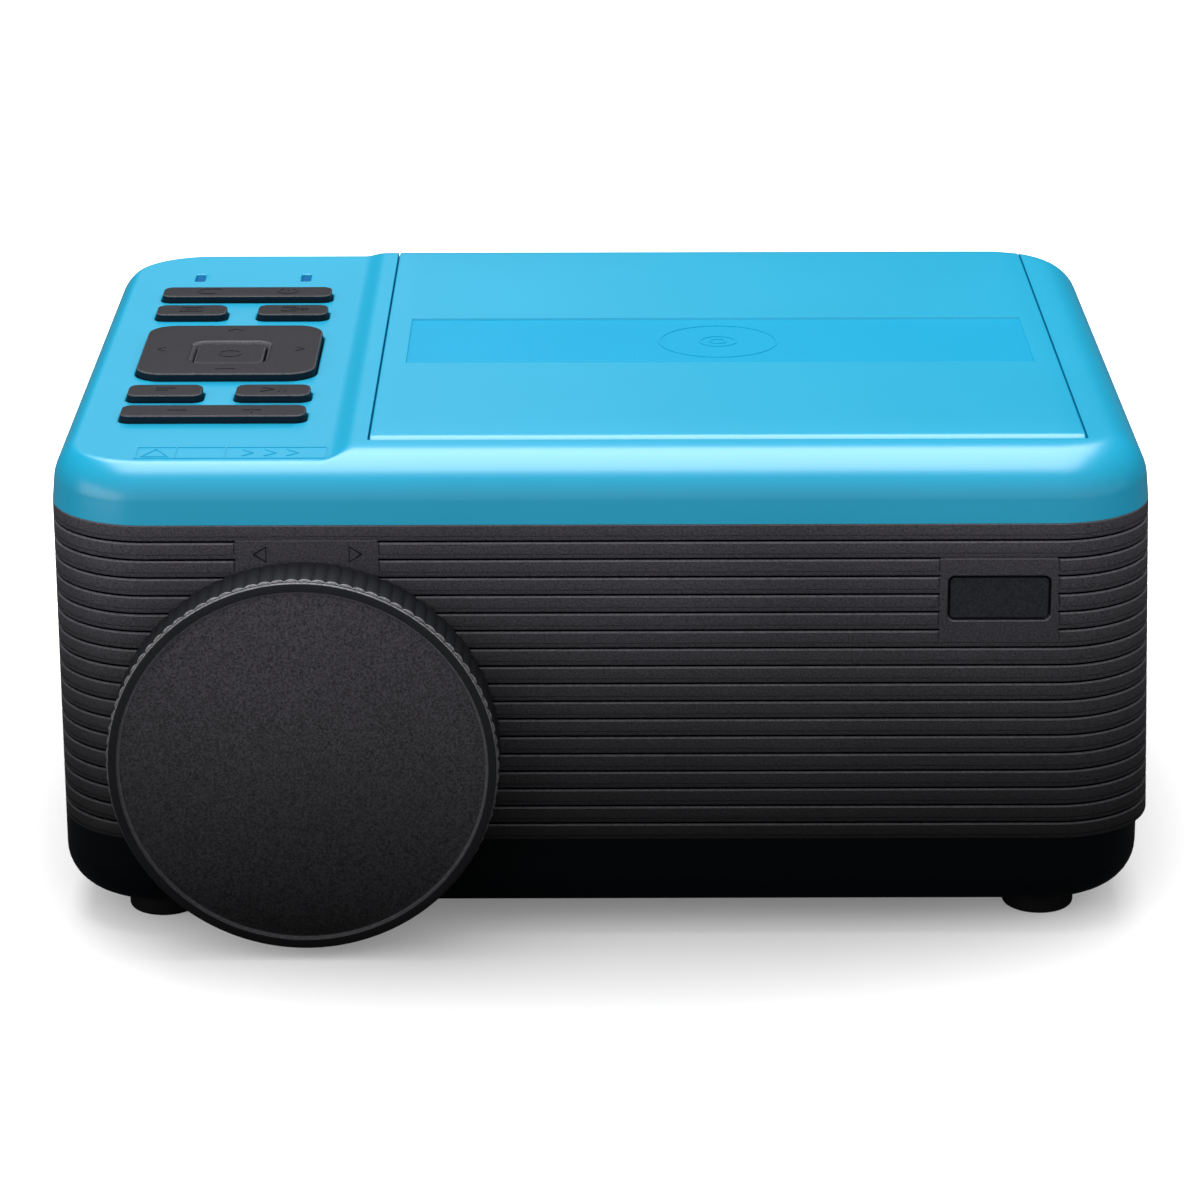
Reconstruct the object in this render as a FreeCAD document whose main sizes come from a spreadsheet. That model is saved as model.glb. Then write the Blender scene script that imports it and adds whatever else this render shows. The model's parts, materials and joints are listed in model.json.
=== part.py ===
import FreeCAD, Part
import math
import os
import re

import Sketcher
from FreeCAD import Vector

# Desktop projector with a top-loading disc player.
# +X is to the right seen from the lens side, the lens looks along -Y, +Z is up, and the
# origin lies on the table under the middle of the outline, lens cap included.

# Driving dimensions in millimetres and degrees: name, value, meaning.
size_rows = [
    # case
    ("width", 223.0, "case across X"),
    ("depth", 176.0, "case along Y, cap left out"),
    ("corner_r", 20.6, "upright corner radius"),
    ("wall", 2.2, "wall of band and tub"),
    ("floor_gap", 5.0, "tub underside above the table"),
    ("tub_floor", 2.4, "floor thickness of the tub"),
    ("tub_edge_r", 8.8, "lower edge rounding of the tub"),
    ("seam", 88.5, "height of the joint under the top cover"),
    ("rib_pitch", 3.78, "ribs of the band, one above the other"),
    ("rib_count", 18, "ribs of the band"),
    ("groove_height", 0.6, "groove between two ribs"),
    ("groove_depth", 0.7, "depth of those grooves"),
    ("flare", 2.0, "lowest rib's reach beyond the tub at the right side"),
    ("lip_height", 3.0, "locating lips at both joints"),
    ("lip_wall", 1.2, "thickness of the lips"),
    ("lip_gap", 0.15, "clearance round the lips"),
    # top cover
    ("cover_height", 13.3, "cover above the seam"),
    ("cover_draft", 5.5, "lean of the cover's sides, degrees"),
    ("cover_edge_r", 9.5, "upper edge rounding of the cover"),
    ("cover_wall", 2.2, "wall of cover and lid"),
    ("inner_edge_r", 7.0, "rounding inside the cover's upper edge"),
    ("panel_drop", 1.8, "control panel below the cover's top"),
    ("step_top_x", -49.3, "upper edge of the step beside the panel"),
    ("step_run", 5.5, "width of that step"),
    ("step_r", 9.0, "front corner radius of the step"),
    ("step_front", 2.2, "panel front corner behind the case front"),
    # lid
    ("lid_x", 25.7, "middle of the lid and of the disc well"),
    ("lid_width", 144.8, "lid across X"),
    ("lid_front", 15.3, "lid's front edge behind the case front"),
    ("lid_gap", 0.35, "gap round the lid"),
    ("lid_skirt", 10.6, "depth of the lid's rear skirt"),
    ("lid_rim", 1.6, "lid's rim wall"),
    ("hinge_r", 3.2, "hinge barrel at the lid's front edge"),
    ("pin_r", 1.25, "hinge pins"),
    ("pin_reach", 3.0, "pin engagement in the cover"),
    ("pin_hold", 6.0, "pin engagement in the lid"),
    ("running_gap", 0.05, "radial clearance of pins, rods and shafts"),
    ("label_width", 134.4, "shallow field on the lid, across"),
    ("label_depth", 36.0, "shallow field on the lid, along"),
    ("label_y", 90.0, "middle of that field behind the case front"),
    ("label_drop", 0.4, "depth of that field"),
    ("liner_sheet", 1.0, "lining under the lid"),
    ("catch_x", -27.5, "push catch across"),
    ("catch_y", 148.0, "push catch behind the case front"),
    ("catch_r", 1.8, "plunger of the push catch"),
    ("catch_wall", 1.6, "sleeve of the push catch"),
    ("catch_depth", 7.0, "sleeve below the deck"),
    # disc drive
    ("disc_y", 93.0, "spindle behind the case front"),
    ("well_r", 62.5, "disc well"),
    ("deck_drop", 7.0, "deck below the cover's top"),
    ("deck_wall", 1.5, "deck plate and well wall"),
    ("deck_corner_r", 12.0, "corner radius of the deck"),
    ("well_depth", 4.4, "well floor below the deck"),
    ("hub_r", 14.5, "turntable"),
    ("hub_gap", 1.5, "gap round the turntable"),
    ("boss_r", 7.4, "centring boss for the disc"),
    ("boss_height", 3.6, "boss above the disc's underside"),
    ("disc_lift", 1.8, "disc above the well floor"),
    ("slot_half", 20.0, "half width of the pickup's slot"),
    ("slot_reach", 62.4, "pickup slot's end from the spindle"),
    ("turntable_sheet", 2.2, "turntable thickness"),
    ("neck_r", 5.0, "neck under the turntable"),
    ("motor_r", 12.0, "spindle motor"),
    ("motor_height", 7.0, "spindle motor"),
    ("spindle_r", 1.2, "spindle shaft"),
    ("chassis_width", 78.0, "drive chassis across"),
    ("chassis_depth", 90.0, "drive chassis along"),
    ("chassis_sheet", 1.2, "drive chassis thickness"),
    ("chassis_drop", 21.8, "chassis top below the cover's top"),
    ("chassis_rear", 16.0, "chassis behind the spindle"),
    ("damper_r", 2.5, "rubber dampers"),
    ("rod_r", 1.5, "guide rods"),
    ("rod_space", 24.0, "guide rods beside the spindle line"),
    ("rod_lift", 4.6, "guide rods above the chassis"),
    ("sled_width", 58.0, "pickup sled across"),
    ("sled_depth", 17.0, "pickup sled along"),
    ("sled_height", 6.2, "pickup sled"),
    ("sled_lift", 1.0, "sled above the chassis"),
    ("rod_front", 72.0, "rods' front end from the spindle"),
    ("rod_rear", 8.0, "rods' rear end from the spindle"),
    ("rod_post", 4.0, "rod supports along"),
    ("pickup_r", 4.0, "pickup lens"),
    ("sled_start", 24.0, "pickup lens from the spindle at rest"),
    ("screw_r", 1.3, "lead screw"),
    ("screw_space", 33.5, "lead screw beside the spindle line"),
    ("sled_motor_r", 4.0, "sled motor"),
    ("sled_motor_length", 12.0, "sled motor"),
    # keys on the panel, places measured from the case front
    ("pad_x", -79.9, "middle line of the keys"),
    ("pad_half", 19.1, "keys' reach either side of that line"),
    ("key_rise", 1.6, "keys above the panel"),
    ("key_gap", 0.35, "gap round each key"),
    ("key_flange", 0.9, "retaining flange of each key"),
    ("key_play", 0.6, "free lift of the key flanges"),
    ("key_throw", 1.2, "key stems above the mat"),
    ("stem_r", 2.0, "key stems"),
    ("post_r", 1.8, "posts of the key board"),
    ("key_r", 2.2, "corner radius of the keys"),
    ("key_width", 15.6, "small keys across"),
    ("key_depth", 8.4, "small keys along"),
    ("bar_depth", 8.2, "long keys along"),
    ("front_bar_y", 37.2, "middle of the front bar key"),
    ("front_keys_y", 52.4, "middle of the two front keys"),
    ("nav_y", 84.1, "middle of the direction pad"),
    ("nav_depth", 39.2, "direction pad along"),
    ("nav_r", 6.0, "corner radius of the direction pad"),
    ("centre_width", 14.8, "centre key across"),
    ("centre_depth", 15.0, "centre key along"),
    ("centre_y", 81.8, "middle of the centre key"),
    ("centre_rise", 1.2, "centre key above the panel"),
    ("rear_keys_y", 117.2, "middle of the two rear keys"),
    ("rear_bar_y", 133.0, "middle of the rear bar key"),
    ("light_y", 151.0, "indicator slots"),
    ("light_space", 12.2, "indicator slots beside the middle line"),
    ("light_width", 2.3, "indicator slot across"),
    ("light_length", 6.4, "indicator slot along"),
    ("key_board_drop", 9.8, "key board below the panel"),
    ("board_sheet", 1.6, "circuit boards"),
    ("mat_sheet", 0.8, "key mat"),
    # projection lens and focus ring
    ("lens_x", -59.8, "lens axis across"),
    ("lens_z", 41.8, "lens axis height"),
    ("cap_reach", 13.5, "lens cap in front of the case"),
    ("cap_r", 38.9, "lens cap"),
    ("cap_sheet", 2.9, "lens cap rim thickness"),
    ("cap_face_r", 37.1, "recessed face of the cap"),
    ("cap_face_drop", 0.9, "depth of that recess"),
    ("cap_skirt", 3.4, "cap skirt inside the ring"),
    ("cap_gap", 0.3, "clearance between cap and ring"),
    ("ring_r", 39.4, "focus ring over its knurl"),
    ("ring_gap", 0.8, "focus ring in front of the case"),
    ("ring_wall", 3.4, "focus ring's outer wall"),
    ("flute_count", 90, "flutes of the knurl"),
    ("flute_r", 1.1, "flute radius"),
    ("flute_depth", 0.45, "flute depth"),
    ("tube_r", 29.5, "lens guide tube outside"),
    ("tube_wall", 2.4, "lens guide tube wall"),
    ("tube_front", 2.0, "guide tube's front end behind the case front"),
    ("sleeve_wall", 1.4, "focus ring sleeve round the tube"),
    ("sleeve_reach", 12.0, "sleeve's rear end behind the case front"),
    ("lens_hole_gap", 0.9, "case opening round the sleeve"),
    ("barrel_wall", 2.6, "lens barrel wall"),
    ("barrel_length", 26.0, "lens barrel"),
    ("front_glass", 6.4, "front lens thickness"),
    ("rear_glass", 5.2, "rear lens thickness"),
    # light engine
    ("engine_width", 66.0, "engine housing across"),
    ("engine_front", 34.0, "engine housing behind the case front"),
    ("engine_depth", 74.0, "engine housing along"),
    ("engine_low", 9.6, "engine housing underside"),
    ("engine_height", 64.4, "engine housing"),
    ("engine_wall", 2.0, "engine housing wall"),
    ("screen_sheet", 2.2, "picture panel thickness"),
    ("screen_y", 76.0, "picture panel behind the case front"),
    ("plate_space", 11.0, "ribbed condenser plates beside the picture panel"),
    ("plate_sheet", 1.6, "those plates"),
    ("condenser_r", 22.0, "condenser lens"),
    ("condenser_y", 99.0, "condenser lens behind the case front"),
    ("led_sheet", 1.6, "lamp plate thickness"),
    ("led_r", 9.0, "lamp window"),
    ("sink_depth", 20.0, "heat sink along"),
    ("sink_base", 4.0, "heat sink base"),
    ("sink_width", 58.0, "heat sink across"),
    ("sink_height", 56.0, "heat sink"),
    ("fin_count", 12, "heat sink fins"),
    ("fin_sheet", 1.2, "heat sink fins"),
    # fan
    ("fan_side", 60.0, "fan frame"),
    ("fan_depth", 14.0, "fan frame"),
    ("fan_y", 104.0, "fan axis behind the case front"),
    ("fan_z", 46.0, "fan axis height"),
    ("fan_hole_r", 28.4, "fan opening"),
    ("blade_reach", 27.4, "fan blades"),
    ("blade_count", 7, "fan blades"),
    ("blade_sheet", 1.2, "fan blades"),
    ("fan_hub_r", 12.5, "fan hub"),
    ("grille_side", 64.0, "side grilles along"),
    ("grille_height", 42.0, "side grilles"),
    ("grille_slat", 2.0, "slats of the grilles"),
    ("grille_slot", 3.0, "slots between them"),
    ("grille_sheet", 1.8, "grille thickness"),
    # boards, sockets and loudspeaker
    ("board_z", 26.0, "main boards above the table"),
    ("main_x", 48.0, "middle of the main board"),
    ("main_width", 92.0, "main board across"),
    ("main_depth", 104.0, "main board along"),
    ("power_width", 88.0, "power board across"),
    ("power_depth", 34.0, "power board along"),
    ("power_y", 34.0, "middle of the power board behind the case front"),
    ("port_x", 46.0, "middle of the socket plate"),
    ("port_width", 86.0, "socket plate across"),
    ("port_height", 18.0, "socket plate"),
    ("port_sheet", 1.4, "socket plate thickness"),
    ("socket_depth", 12.0, "sockets behind the plate"),
    ("picture_width", 15.0, "picture socket opening"),
    ("picture_height", 5.4, "picture socket opening"),
    ("data_width", 13.2, "data socket opening"),
    ("data_height", 5.8, "data socket opening"),
    ("socket_wall", 1.0, "shell of the sockets"),
    ("jack_r", 1.8, "sound jack bore"),
    ("jack_body", 3.6, "sound jack body"),
    ("dc_r", 2.8, "power inlet bore"),
    ("dc_body", 4.6, "power inlet body"),
    ("speaker_r", 22.0, "loudspeaker"),
    ("speaker_depth", 11.0, "loudspeaker"),
    ("speaker_y", 98.0, "loudspeaker behind the case front"),
    ("window_x", 79.9, "receiver window across"),
    ("window_z", 72.75, "receiver window height"),
    ("window_width", 20.0, "receiver window"),
    ("window_height", 8.7, "receiver window"),
    ("window_gap", 0.2, "gap round the receiver window"),
    ("window_land_left", 1.9, "plain field left of the window"),
    ("window_land_right", 1.3, "plain field right of the window"),
    ("window_land_up", 4.2, "plain field over and under the window"),
    ("focus_land_left", 13.2, "plain field over the ring, left of the lens line"),
    ("focus_land_right", 15.2, "plain field over the ring, right of the lens line"),
    # feet, screws and tripod bush
    ("foot_x", 91.2, "feet beside the middle"),
    ("foot_in", 17.1, "feet from the case's front and rear"),
    ("foot_r", 7.4, "feet"),
    ("foot_plug_r", 4.0, "plug that holds each foot"),
    ("screw_in", 33.0, "case screws from the case's front and rear"),
    ("screw_x", 99.5, "case screws beside the middle"),
    ("post_half", 4.2, "half width of the screw posts"),
    ("thread_r", 1.5, "case screw threads"),
    ("head_r", 2.8, "case screw heads"),
    ("head_height", 2.0, "case screw heads"),
    ("screw_length", 22.0, "case screws under the head"),
    ("bush_r", 5.0, "tripod bush"),
    ("bush_height", 9.0, "tripod bush"),
    ("bush_hole_r", 2.6, "tripod bush thread"),
    ("bush_hole", 7.5, "tripod bush thread depth"),
    ("bush_wall", 2.0, "boss round the tripod bush"),
    ("small_gap", 0.3, "clearance between loose neighbours"),
    ("root_overlap", 0.2, "depth to which posts and ribs run into their wall"),
]
sizes = {name: number for name, number, meaning in size_rows}

# Lengths that follow from the driving dimensions.
derived = {
    "front": "(cap_reach - depth) / 2",
    "rear": "front + depth",
    "side": "width / 2",
    "top": "seam + cover_height",
    "panel": "top - panel_drop",
    "ceiling": "panel - cover_wall",
    "rib_height": "rib_pitch - groove_height",
    "rib_span": "rib_pitch * (rib_count - 1)",
    "band_low": "seam - rib_span - rib_height",
    "lid_left": "lid_x - lid_width / 2",
    "lid_right": "lid_x + lid_width / 2",
    "lid_low_y": "front + lid_front",
    "skirt_low": "top - lid_skirt",
    "lid_under": "top - cover_wall",
    "hinge_y": "lid_low_y + hinge_r",
    "hinge_z": "top - hinge_r",
    "deck_top": "top - deck_drop",
    "well_floor": "deck_top - well_depth",
    "spindle_y": "front + disc_y",
    "disc_z": "well_floor + disc_lift",
    "chassis_top": "top - chassis_drop",
    "rod_z": "chassis_top + rod_lift",
    "cap_front": "front - cap_reach",
    "ring_front": "cap_front + cap_sheet",
    "ring_back": "front - ring_gap",
    "sleeve_r": "tube_r + running_gap + sleeve_wall",
    "lens_hole_r": "sleeve_r + lens_hole_gap",
    "barrel_r": "tube_r - tube_wall - running_gap",
    "glass_r": "barrel_r - barrel_wall",
    "engine_y": "front + engine_front",
    "engine_back": "engine_y + engine_depth",
    "screen_at": "front + screen_y",
    "fan_at": "front + fan_y",
    "fan_out": "-(side - wall - grille_sheet - small_gap)",
    "port_low": "board_z + board_sheet - 2",
    "key_board_z": "panel - key_board_drop",
    "mat_top": "key_board_z + mat_sheet",
    "board_top": "board_z + board_sheet",
    "well_under": "well_floor - deck_wall",
    "liner_under": "lid_under - liner_sheet",
    "rim_low": "hinge_z - hinge_r",
    "grille_in": "side - wall - grille_sheet",
    "sled_y": "spindle_y - sled_start",
    "sled_low": "chassis_top + sled_lift",
    "sled_top": "sled_low + sled_height",
    "screw_at": "lid_x - screw_space",
}

doc = FreeCAD.newDocument("disc_projector")
sheet = doc.addObject("Spreadsheet::Sheet", "Sizes")
for row, (name, number, meaning) in enumerate(size_rows, start=1):
    sheet.set(f"A{row}", name)
    sheet.set(f"B{row}", str(number))
    sheet.set(f"C{row}", meaning)
    sheet.setAlias(f"B{row}", name)
doc.recompute()

nodes = []  # finished sub-parts, in the order they are made


def spelled(text):
    """Write a formula of size names the way the document's expressions want it."""

    def swap(match):
        word = match.group(0)
        if word in derived:
            return "(" + spelled(derived[word]) + ")"
        return "Sizes." + word if word in sizes else word

    return re.sub(r"[a-z][a-z_0-9]*", swap, text)


def value(text):
    """The number that a formula of size names gives."""
    return float(sheet.evalExpression(spelled(text)))


def bind(thing, prop, text):
    thing.setExpression(prop, spelled(text))


# ---- outlines: closed loops whose corners are formulas ----

def rectangle(left, right, low, high, radius=None):
    return ("rectangle", (left, right, low, high, radius))


def circle(x, y, radius):
    return ("circle", (x, y, radius))


def polygon(*points):
    return ("polygon", points)


def case_outline(inset="0"):
    """The case's rounded plan, moved inwards by inset."""
    return rectangle(f"-side + {inset}", f"side - ({inset})", f"front + {inset}",
                     f"rear - ({inset})", f"corner_r - ({inset})")


def hold(sketch, kind, *where, text=None, name=None):
    """Add one constraint and tie it to a formula where it has a size."""
    if text is None:
        sketch.addConstraint(Sketcher.Constraint(kind, *where))
        return
    index = sketch.addConstraint(Sketcher.Constraint(kind, *where, value(text)))
    sketch.renameConstraint(index, name)
    bind(sketch, "Constraints." + name, text)


def draw_rectangle(sketch, number, left, right, low, high, radius):
    x0, x1, y0, y1 = (value(side) for side in (left, right, low, high))
    r = value(radius) if radius else 0.0
    corners = [(x0 + r, y0, x1 - r, y0), (x1, y0 + r, x1, y1 - r),
               (x1 - r, y1, x0 + r, y1), (x0, y1 - r, x0, y0 + r)]
    lines = [sketch.addGeometry(Part.LineSegment(Vector(a, b, 0), Vector(c, d, 0)), False)
             for a, b, c, d in corners]
    if radius:
        centres = [(x1 - r, y0 + r), (x1 - r, y1 - r), (x0 + r, y1 - r), (x0 + r, y0 + r)]
        arcs = []
        for turn, (cx, cy) in enumerate(centres):
            whole = Part.Circle(Vector(cx, cy, 0), Vector(0, 0, 1), r)
            start = (turn - 1) * math.pi / 2
            arcs.append(sketch.addGeometry(
                Part.ArcOfCircle(whole, start, start + math.pi / 2), False))
        for turn in range(4):
            hold(sketch, "Tangent", lines[turn], 2, arcs[turn], 1)
            hold(sketch, "Tangent", arcs[turn], 2, lines[(turn + 1) % 4], 1)
        for arc in arcs[1:]:
            hold(sketch, "Equal", arcs[0], arc)
        hold(sketch, "Radius", arcs[0], text=radius, name=f"radius{number}")
    else:
        for turn in range(4):
            hold(sketch, "Coincident", lines[turn], 2, lines[(turn + 1) % 4], 1)
    for line, kind in zip(lines, ("Horizontal", "Vertical") * 2):
        hold(sketch, kind, line)
    hold(sketch, "DistanceY", -1, 1, lines[0], 1, text=low, name=f"low{number}")
    hold(sketch, "DistanceX", -1, 1, lines[1], 1, text=right, name=f"right{number}")
    hold(sketch, "DistanceY", -1, 1, lines[2], 1, text=high, name=f"high{number}")
    hold(sketch, "DistanceX", -1, 1, lines[3], 1, text=left, name=f"left{number}")


def draw_circle(sketch, number, x, y, radius):
    centre = Vector(value(x), value(y), 0)
    ring = sketch.addGeometry(Part.Circle(centre, Vector(0, 0, 1), value(radius)), False)
    hold(sketch, "Radius", ring, text=radius, name=f"radius{number}")
    hold(sketch, "DistanceX", -1, 1, ring, 3, text=x, name=f"x{number}")
    hold(sketch, "DistanceY", -1, 1, ring, 3, text=y, name=f"y{number}")


def draw_polygon(sketch, number, *points):
    spots = [Vector(value(x), value(y), 0) for x, y in points]
    lines = [sketch.addGeometry(Part.LineSegment(spot, spots[(n + 1) % len(spots)]), False)
             for n, spot in enumerate(spots)]
    for n, line in enumerate(lines):
        hold(sketch, "Coincident", line, 2, lines[(n + 1) % len(lines)], 1)
        x, y = points[n]
        hold(sketch, "DistanceX", -1, 1, line, 1, text=x, name=f"x{number}_{n}")
        hold(sketch, "DistanceY", -1, 1, line, 1, text=y, name=f"y{number}_{n}")


drawers = {"rectangle": draw_rectangle, "circle": draw_circle, "polygon": draw_polygon}

# Each plane's role in a body's origin and whether its normal points along the row axis.
# Sketch x and y run along X and Y, X and Z, or Y and Z.
planes = {"XY": ("XY_Plane", True), "XZ": ("XZ_Plane", False), "YZ": ("YZ_Plane", True)}


def new_body(label):
    body = doc.addObject("PartDesign::Body", label)
    body.Label = label
    nodes.append(body)
    return body


def sketch_on(body, plane, level, outlines, shift=None):
    """A sketch in body, parallel to one of its origin planes, at level along the normal axis."""
    role, forward = planes[plane]
    sketch = body.newObject("Sketcher::SketchObject", body.Name + "_outline")
    support = next(f for f in body.Origin.OriginFeatures if f.Role == role)
    sketch.AttachmentSupport = [(support, "")]
    sketch.MapMode = "FlatFace"
    bind(sketch, "AttachmentOffset.Base.z", level if forward else f"-({level})")
    if shift:
        bind(sketch, "AttachmentOffset.Base.x", shift[0])
        bind(sketch, "AttachmentOffset.Base.y", shift[1])
    for number, (kind, corners) in enumerate(outlines):
        drawers[kind](sketch, number, *corners)
    return sketch


def extrude(body, kind, plane, low, high, *outlines, draft=None):
    """Pad or pocket outlines from low to high along the plane's row axis."""
    before = body.Shape.Volume if body.Tip else 0.0
    sketch = sketch_on(body, plane, low, outlines)
    feature = body.newObject("PartDesign::" + kind, body.Name + "_" + kind.lower())
    feature.Profile = sketch
    bind(feature, "Length", f"({high}) - ({low})")
    forward = planes[plane][1]
    feature.Reversed = forward if kind == "Pocket" else not forward
    if draft:
        bind(feature, "TaperAngle", draft)
    doc.recompute()
    after = body.Shape.Volume
    if (after < before) != (kind == "Pocket") or abs(after - before) < 1e-6:
        raise RuntimeError(f"{body.Label}: {feature.Label} changes nothing")
    return feature


def pad(body, plane, low, high, *outlines, draft=None):
    return extrude(body, "Pad", plane, low, high, *outlines, draft=draft)


def pocket(body, plane, low, high, *outlines):
    return extrude(body, "Pocket", plane, low, high, *outlines)


def loft(body, kind, first, last):
    """Join two level outlines, each a (height, outline) pair, with straight sides."""
    sections = [sketch_on(body, "XY", height, [outline]) for height, outline in (first, last)]
    feature = body.newObject("PartDesign::" + kind, body.Name + "_loft")
    feature.Profile = sections[0]
    feature.Sections = [sections[1]]
    feature.Ruled = True
    doc.recompute()
    return feature


def turned(body, kind, axis, centre, *points):
    """Revolve or groove a profile of (radius, height) points about an upright or lens-wise axis.

    axis is "Z" with centre (x, y), "Y" with centre (x, z), or "X" with centre (y, z)."""
    profile = [polygon(*points)]
    if axis == "Z":
        sketch = sketch_on(body, "XZ", centre[1], profile, shift=(centre[0], "0"))
    elif axis == "Y":
        sketch = sketch_on(body, "XY", centre[1], profile, shift=(centre[0], "0"))
    else:
        swapped = [polygon(*((height, radius) for radius, height in points))]
        sketch = sketch_on(body, "XZ", centre[0], swapped, shift=("0", centre[1]))
    feature = body.newObject("PartDesign::" + kind, body.Name + "_turned")
    feature.Profile = sketch
    feature.ReferenceAxis = (sketch, ["H_Axis" if axis == "X" else "V_Axis"])
    feature.Angle = 360
    doc.recompute()
    return feature


def body_axis(body, role):
    return next(f for f in body.Origin.OriginFeatures if f.Role == role)


def row_of(body, feature, axis, length, count, reverse=False):
    """Repeat a feature in a straight row."""
    pattern = body.newObject("PartDesign::LinearPattern", body.Name + "_row")
    pattern.Originals = [feature]
    pattern.Direction = axis
    pattern.Reversed = reverse
    bind(pattern, "Length", length)
    bind(pattern, "Occurrences", count)
    body.Tip = pattern
    doc.recompute()
    return pattern


def ring_of(body, feature, axis, count):
    """Repeat a feature round an axis."""
    pattern = body.newObject("PartDesign::PolarPattern", body.Name + "_round")
    pattern.Originals = [feature]
    pattern.Axis = axis
    pattern.Angle = 360
    bind(pattern, "Occurrences", count)
    body.Tip = pattern
    doc.recompute()
    return pattern


def round_edges(body, radius, chosen):
    """Round every edge of the body whose middle and ends satisfy chosen(point)."""
    names = []
    for number, edge in enumerate(body.Shape.Edges, start=1):
        middle = edge.valueAt((edge.FirstParameter + edge.LastParameter) / 2)
        spots = [middle] + [vertex.Point for vertex in edge.Vertexes]
        if all(chosen(spot) for spot in spots):
            names.append(f"Edge{number}")
    base = body.Tip
    fillet = body.newObject("PartDesign::Fillet", body.Name + "_rounding")
    fillet.Base = (base, names)
    bind(fillet, "Radius", radius)
    doc.recompute()
    return fillet


def at_height(height):
    level = value(height)
    return lambda spot: abs(spot.z - level) < 1e-3



# ---- case ----

def top_cover():
    """Upper shell with the sunken key panel and the opening for the lid."""
    body = new_body("top_cover")
    pad(body, "XY", "seam", "top", case_outline(), draft="-cover_draft")
    pocket(body, "XY", "seam", "ceiling", case_outline("cover_wall"))
    round_edges(body, "inner_edge_r", at_height("ceiling"))
    round_edges(body, "cover_edge_r", at_height("top"))
    # key panel: a sloped and rounded step down from the lid's level
    far = "side + corner_r"
    loft(body, "SubtractiveLoft",
         ("panel", rectangle(f"-({far})", "step_top_x - step_run", "front + step_front",
                             f"rear + corner_r", "step_r")),
         ("top", rectangle(f"-({far}) - step_run", "step_top_x", "front + step_front - step_run",
                           "rear + corner_r + step_run", "step_r + step_run")))
    locating_lip(body, "seam", "cover_wall", downwards=True)
    # opening for the lid, its inner frame and the hinge ears
    left, right = "lid_left - lid_gap", "lid_right + lid_gap"
    low = "lid_low_y - lid_gap"
    pocket(body, "XY", "skirt_low - lid_gap", "top + 1",
           rectangle(left, right, low, "rear + corner_r"))
    back = "rear - cover_wall - inner_edge_r"
    ear_low, ear_high = "hinge_y - hinge_r", "hinge_y + hinge_r"
    outer_left, outer_right = f"{left} - pin_reach - lid_rim", f"{right} + pin_reach + lid_rim"
    pad(body, "XY", "deck_top", "ceiling + root_overlap", polygon(
        (f"{left} - lid_rim", f"{low} - lid_rim"), (f"{right} + lid_rim", f"{low} - lid_rim"),
        (f"{right} + lid_rim", ear_low), (outer_right, ear_low), (outer_right, ear_high),
        (f"{right} + lid_rim", ear_high), (f"{right} + lid_rim", back), (right, back),
        (right, low), (left, low), (left, back), (f"{left} - lid_rim", back),
        (f"{left} - lid_rim", ear_high), (outer_left, ear_high), (outer_left, ear_low),
        (f"{left} - lid_rim", ear_low)))
    bore = circle("hinge_y", "hinge_z", "pin_r + running_gap")
    pocket(body, "YZ", f"{left} - pin_reach - small_gap", f"{left} + 0.1", bore)
    pocket(body, "YZ", f"{right} - 0.1", f"{right} + pin_reach + small_gap", bore)
    # windows for keys and indicators
    pocket(body, "XY", "ceiling - 1", "top + 1",
           *(rectangle(x0, x1, y0, y1, r)
             for x0, x1, y0, y1, r in key_windows("key_gap")), *light_slots())
    pad(body, "XY", "key_board_z", "ceiling + root_overlap",
        *(circle(x, y, "post_r") for x, y in key_posts()))


def key_posts():
    """Where the key board hangs from the panel, between the rows of keys."""
    return [(f"pad_x {side} 15", f"front + {y}") for side in "-+" for y in ("44.75", "125.15")]


def key_windows(grow):
    """Plan of every key on the panel, grown outwards, as left, right, low, high and radius."""
    left, right = "pad_x - pad_half", "pad_x + pad_half"
    rows = [(left, right, "front_bar_y", "bar_depth", "key_r"),
            (left, f"{left} + key_width", "front_keys_y", "key_depth", "key_r"),
            (f"{right} - key_width", right, "front_keys_y", "key_depth", "key_r"),
            (left, right, "nav_y", "nav_depth", "nav_r"),
            (left, f"{left} + key_width", "rear_keys_y", "key_depth", "key_r"),
            (f"{right} - key_width", right, "rear_keys_y", "key_depth", "key_r"),
            (left, right, "rear_bar_y", "bar_depth", "key_r")]
    return [(f"{x0} - ({grow})", f"{x1} + {grow}",
             f"front + {y} - {depth} / 2 - ({grow})", f"front + {y} + {depth} / 2 + {grow}",
             f"{radius} + {grow}") for x0, x1, y, depth, radius in rows]


def light_slots(shrink="0"):
    """Plan of the two indicator slots, made smaller by shrink all round."""
    return [rectangle(f"pad_x {sign} light_space - light_width / 2 + {shrink}",
                      f"pad_x {sign} light_space + light_width / 2 - ({shrink})",
                      f"front + light_y - light_length / 2 + {shrink}",
                      f"front + light_y + light_length / 2 - ({shrink})") for sign in "-+"]


def locating_lip(body, joint, wall_name, downwards):
    """A thin ring inside the wall that reaches over the joint into the next shell."""
    outside = f"{wall_name} + lip_gap"
    inside = f"{outside} + lip_wall"
    over, root = ("-", "+") if downwards else ("+", "-")
    pad(body, "XY", *sorted([joint, f"{joint} {root} lip_height"], key=value),
        case_outline(f"{wall_name} - lip_gap"), case_outline(inside))
    pad(body, "XY", *sorted([f"{joint} {over} lip_height", f"{joint} {root} lip_height"], key=value),
        case_outline(outside), case_outline(inside))


def lens_opening():
    return circle("lens_x", "lens_z", "lens_hole_r")


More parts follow.
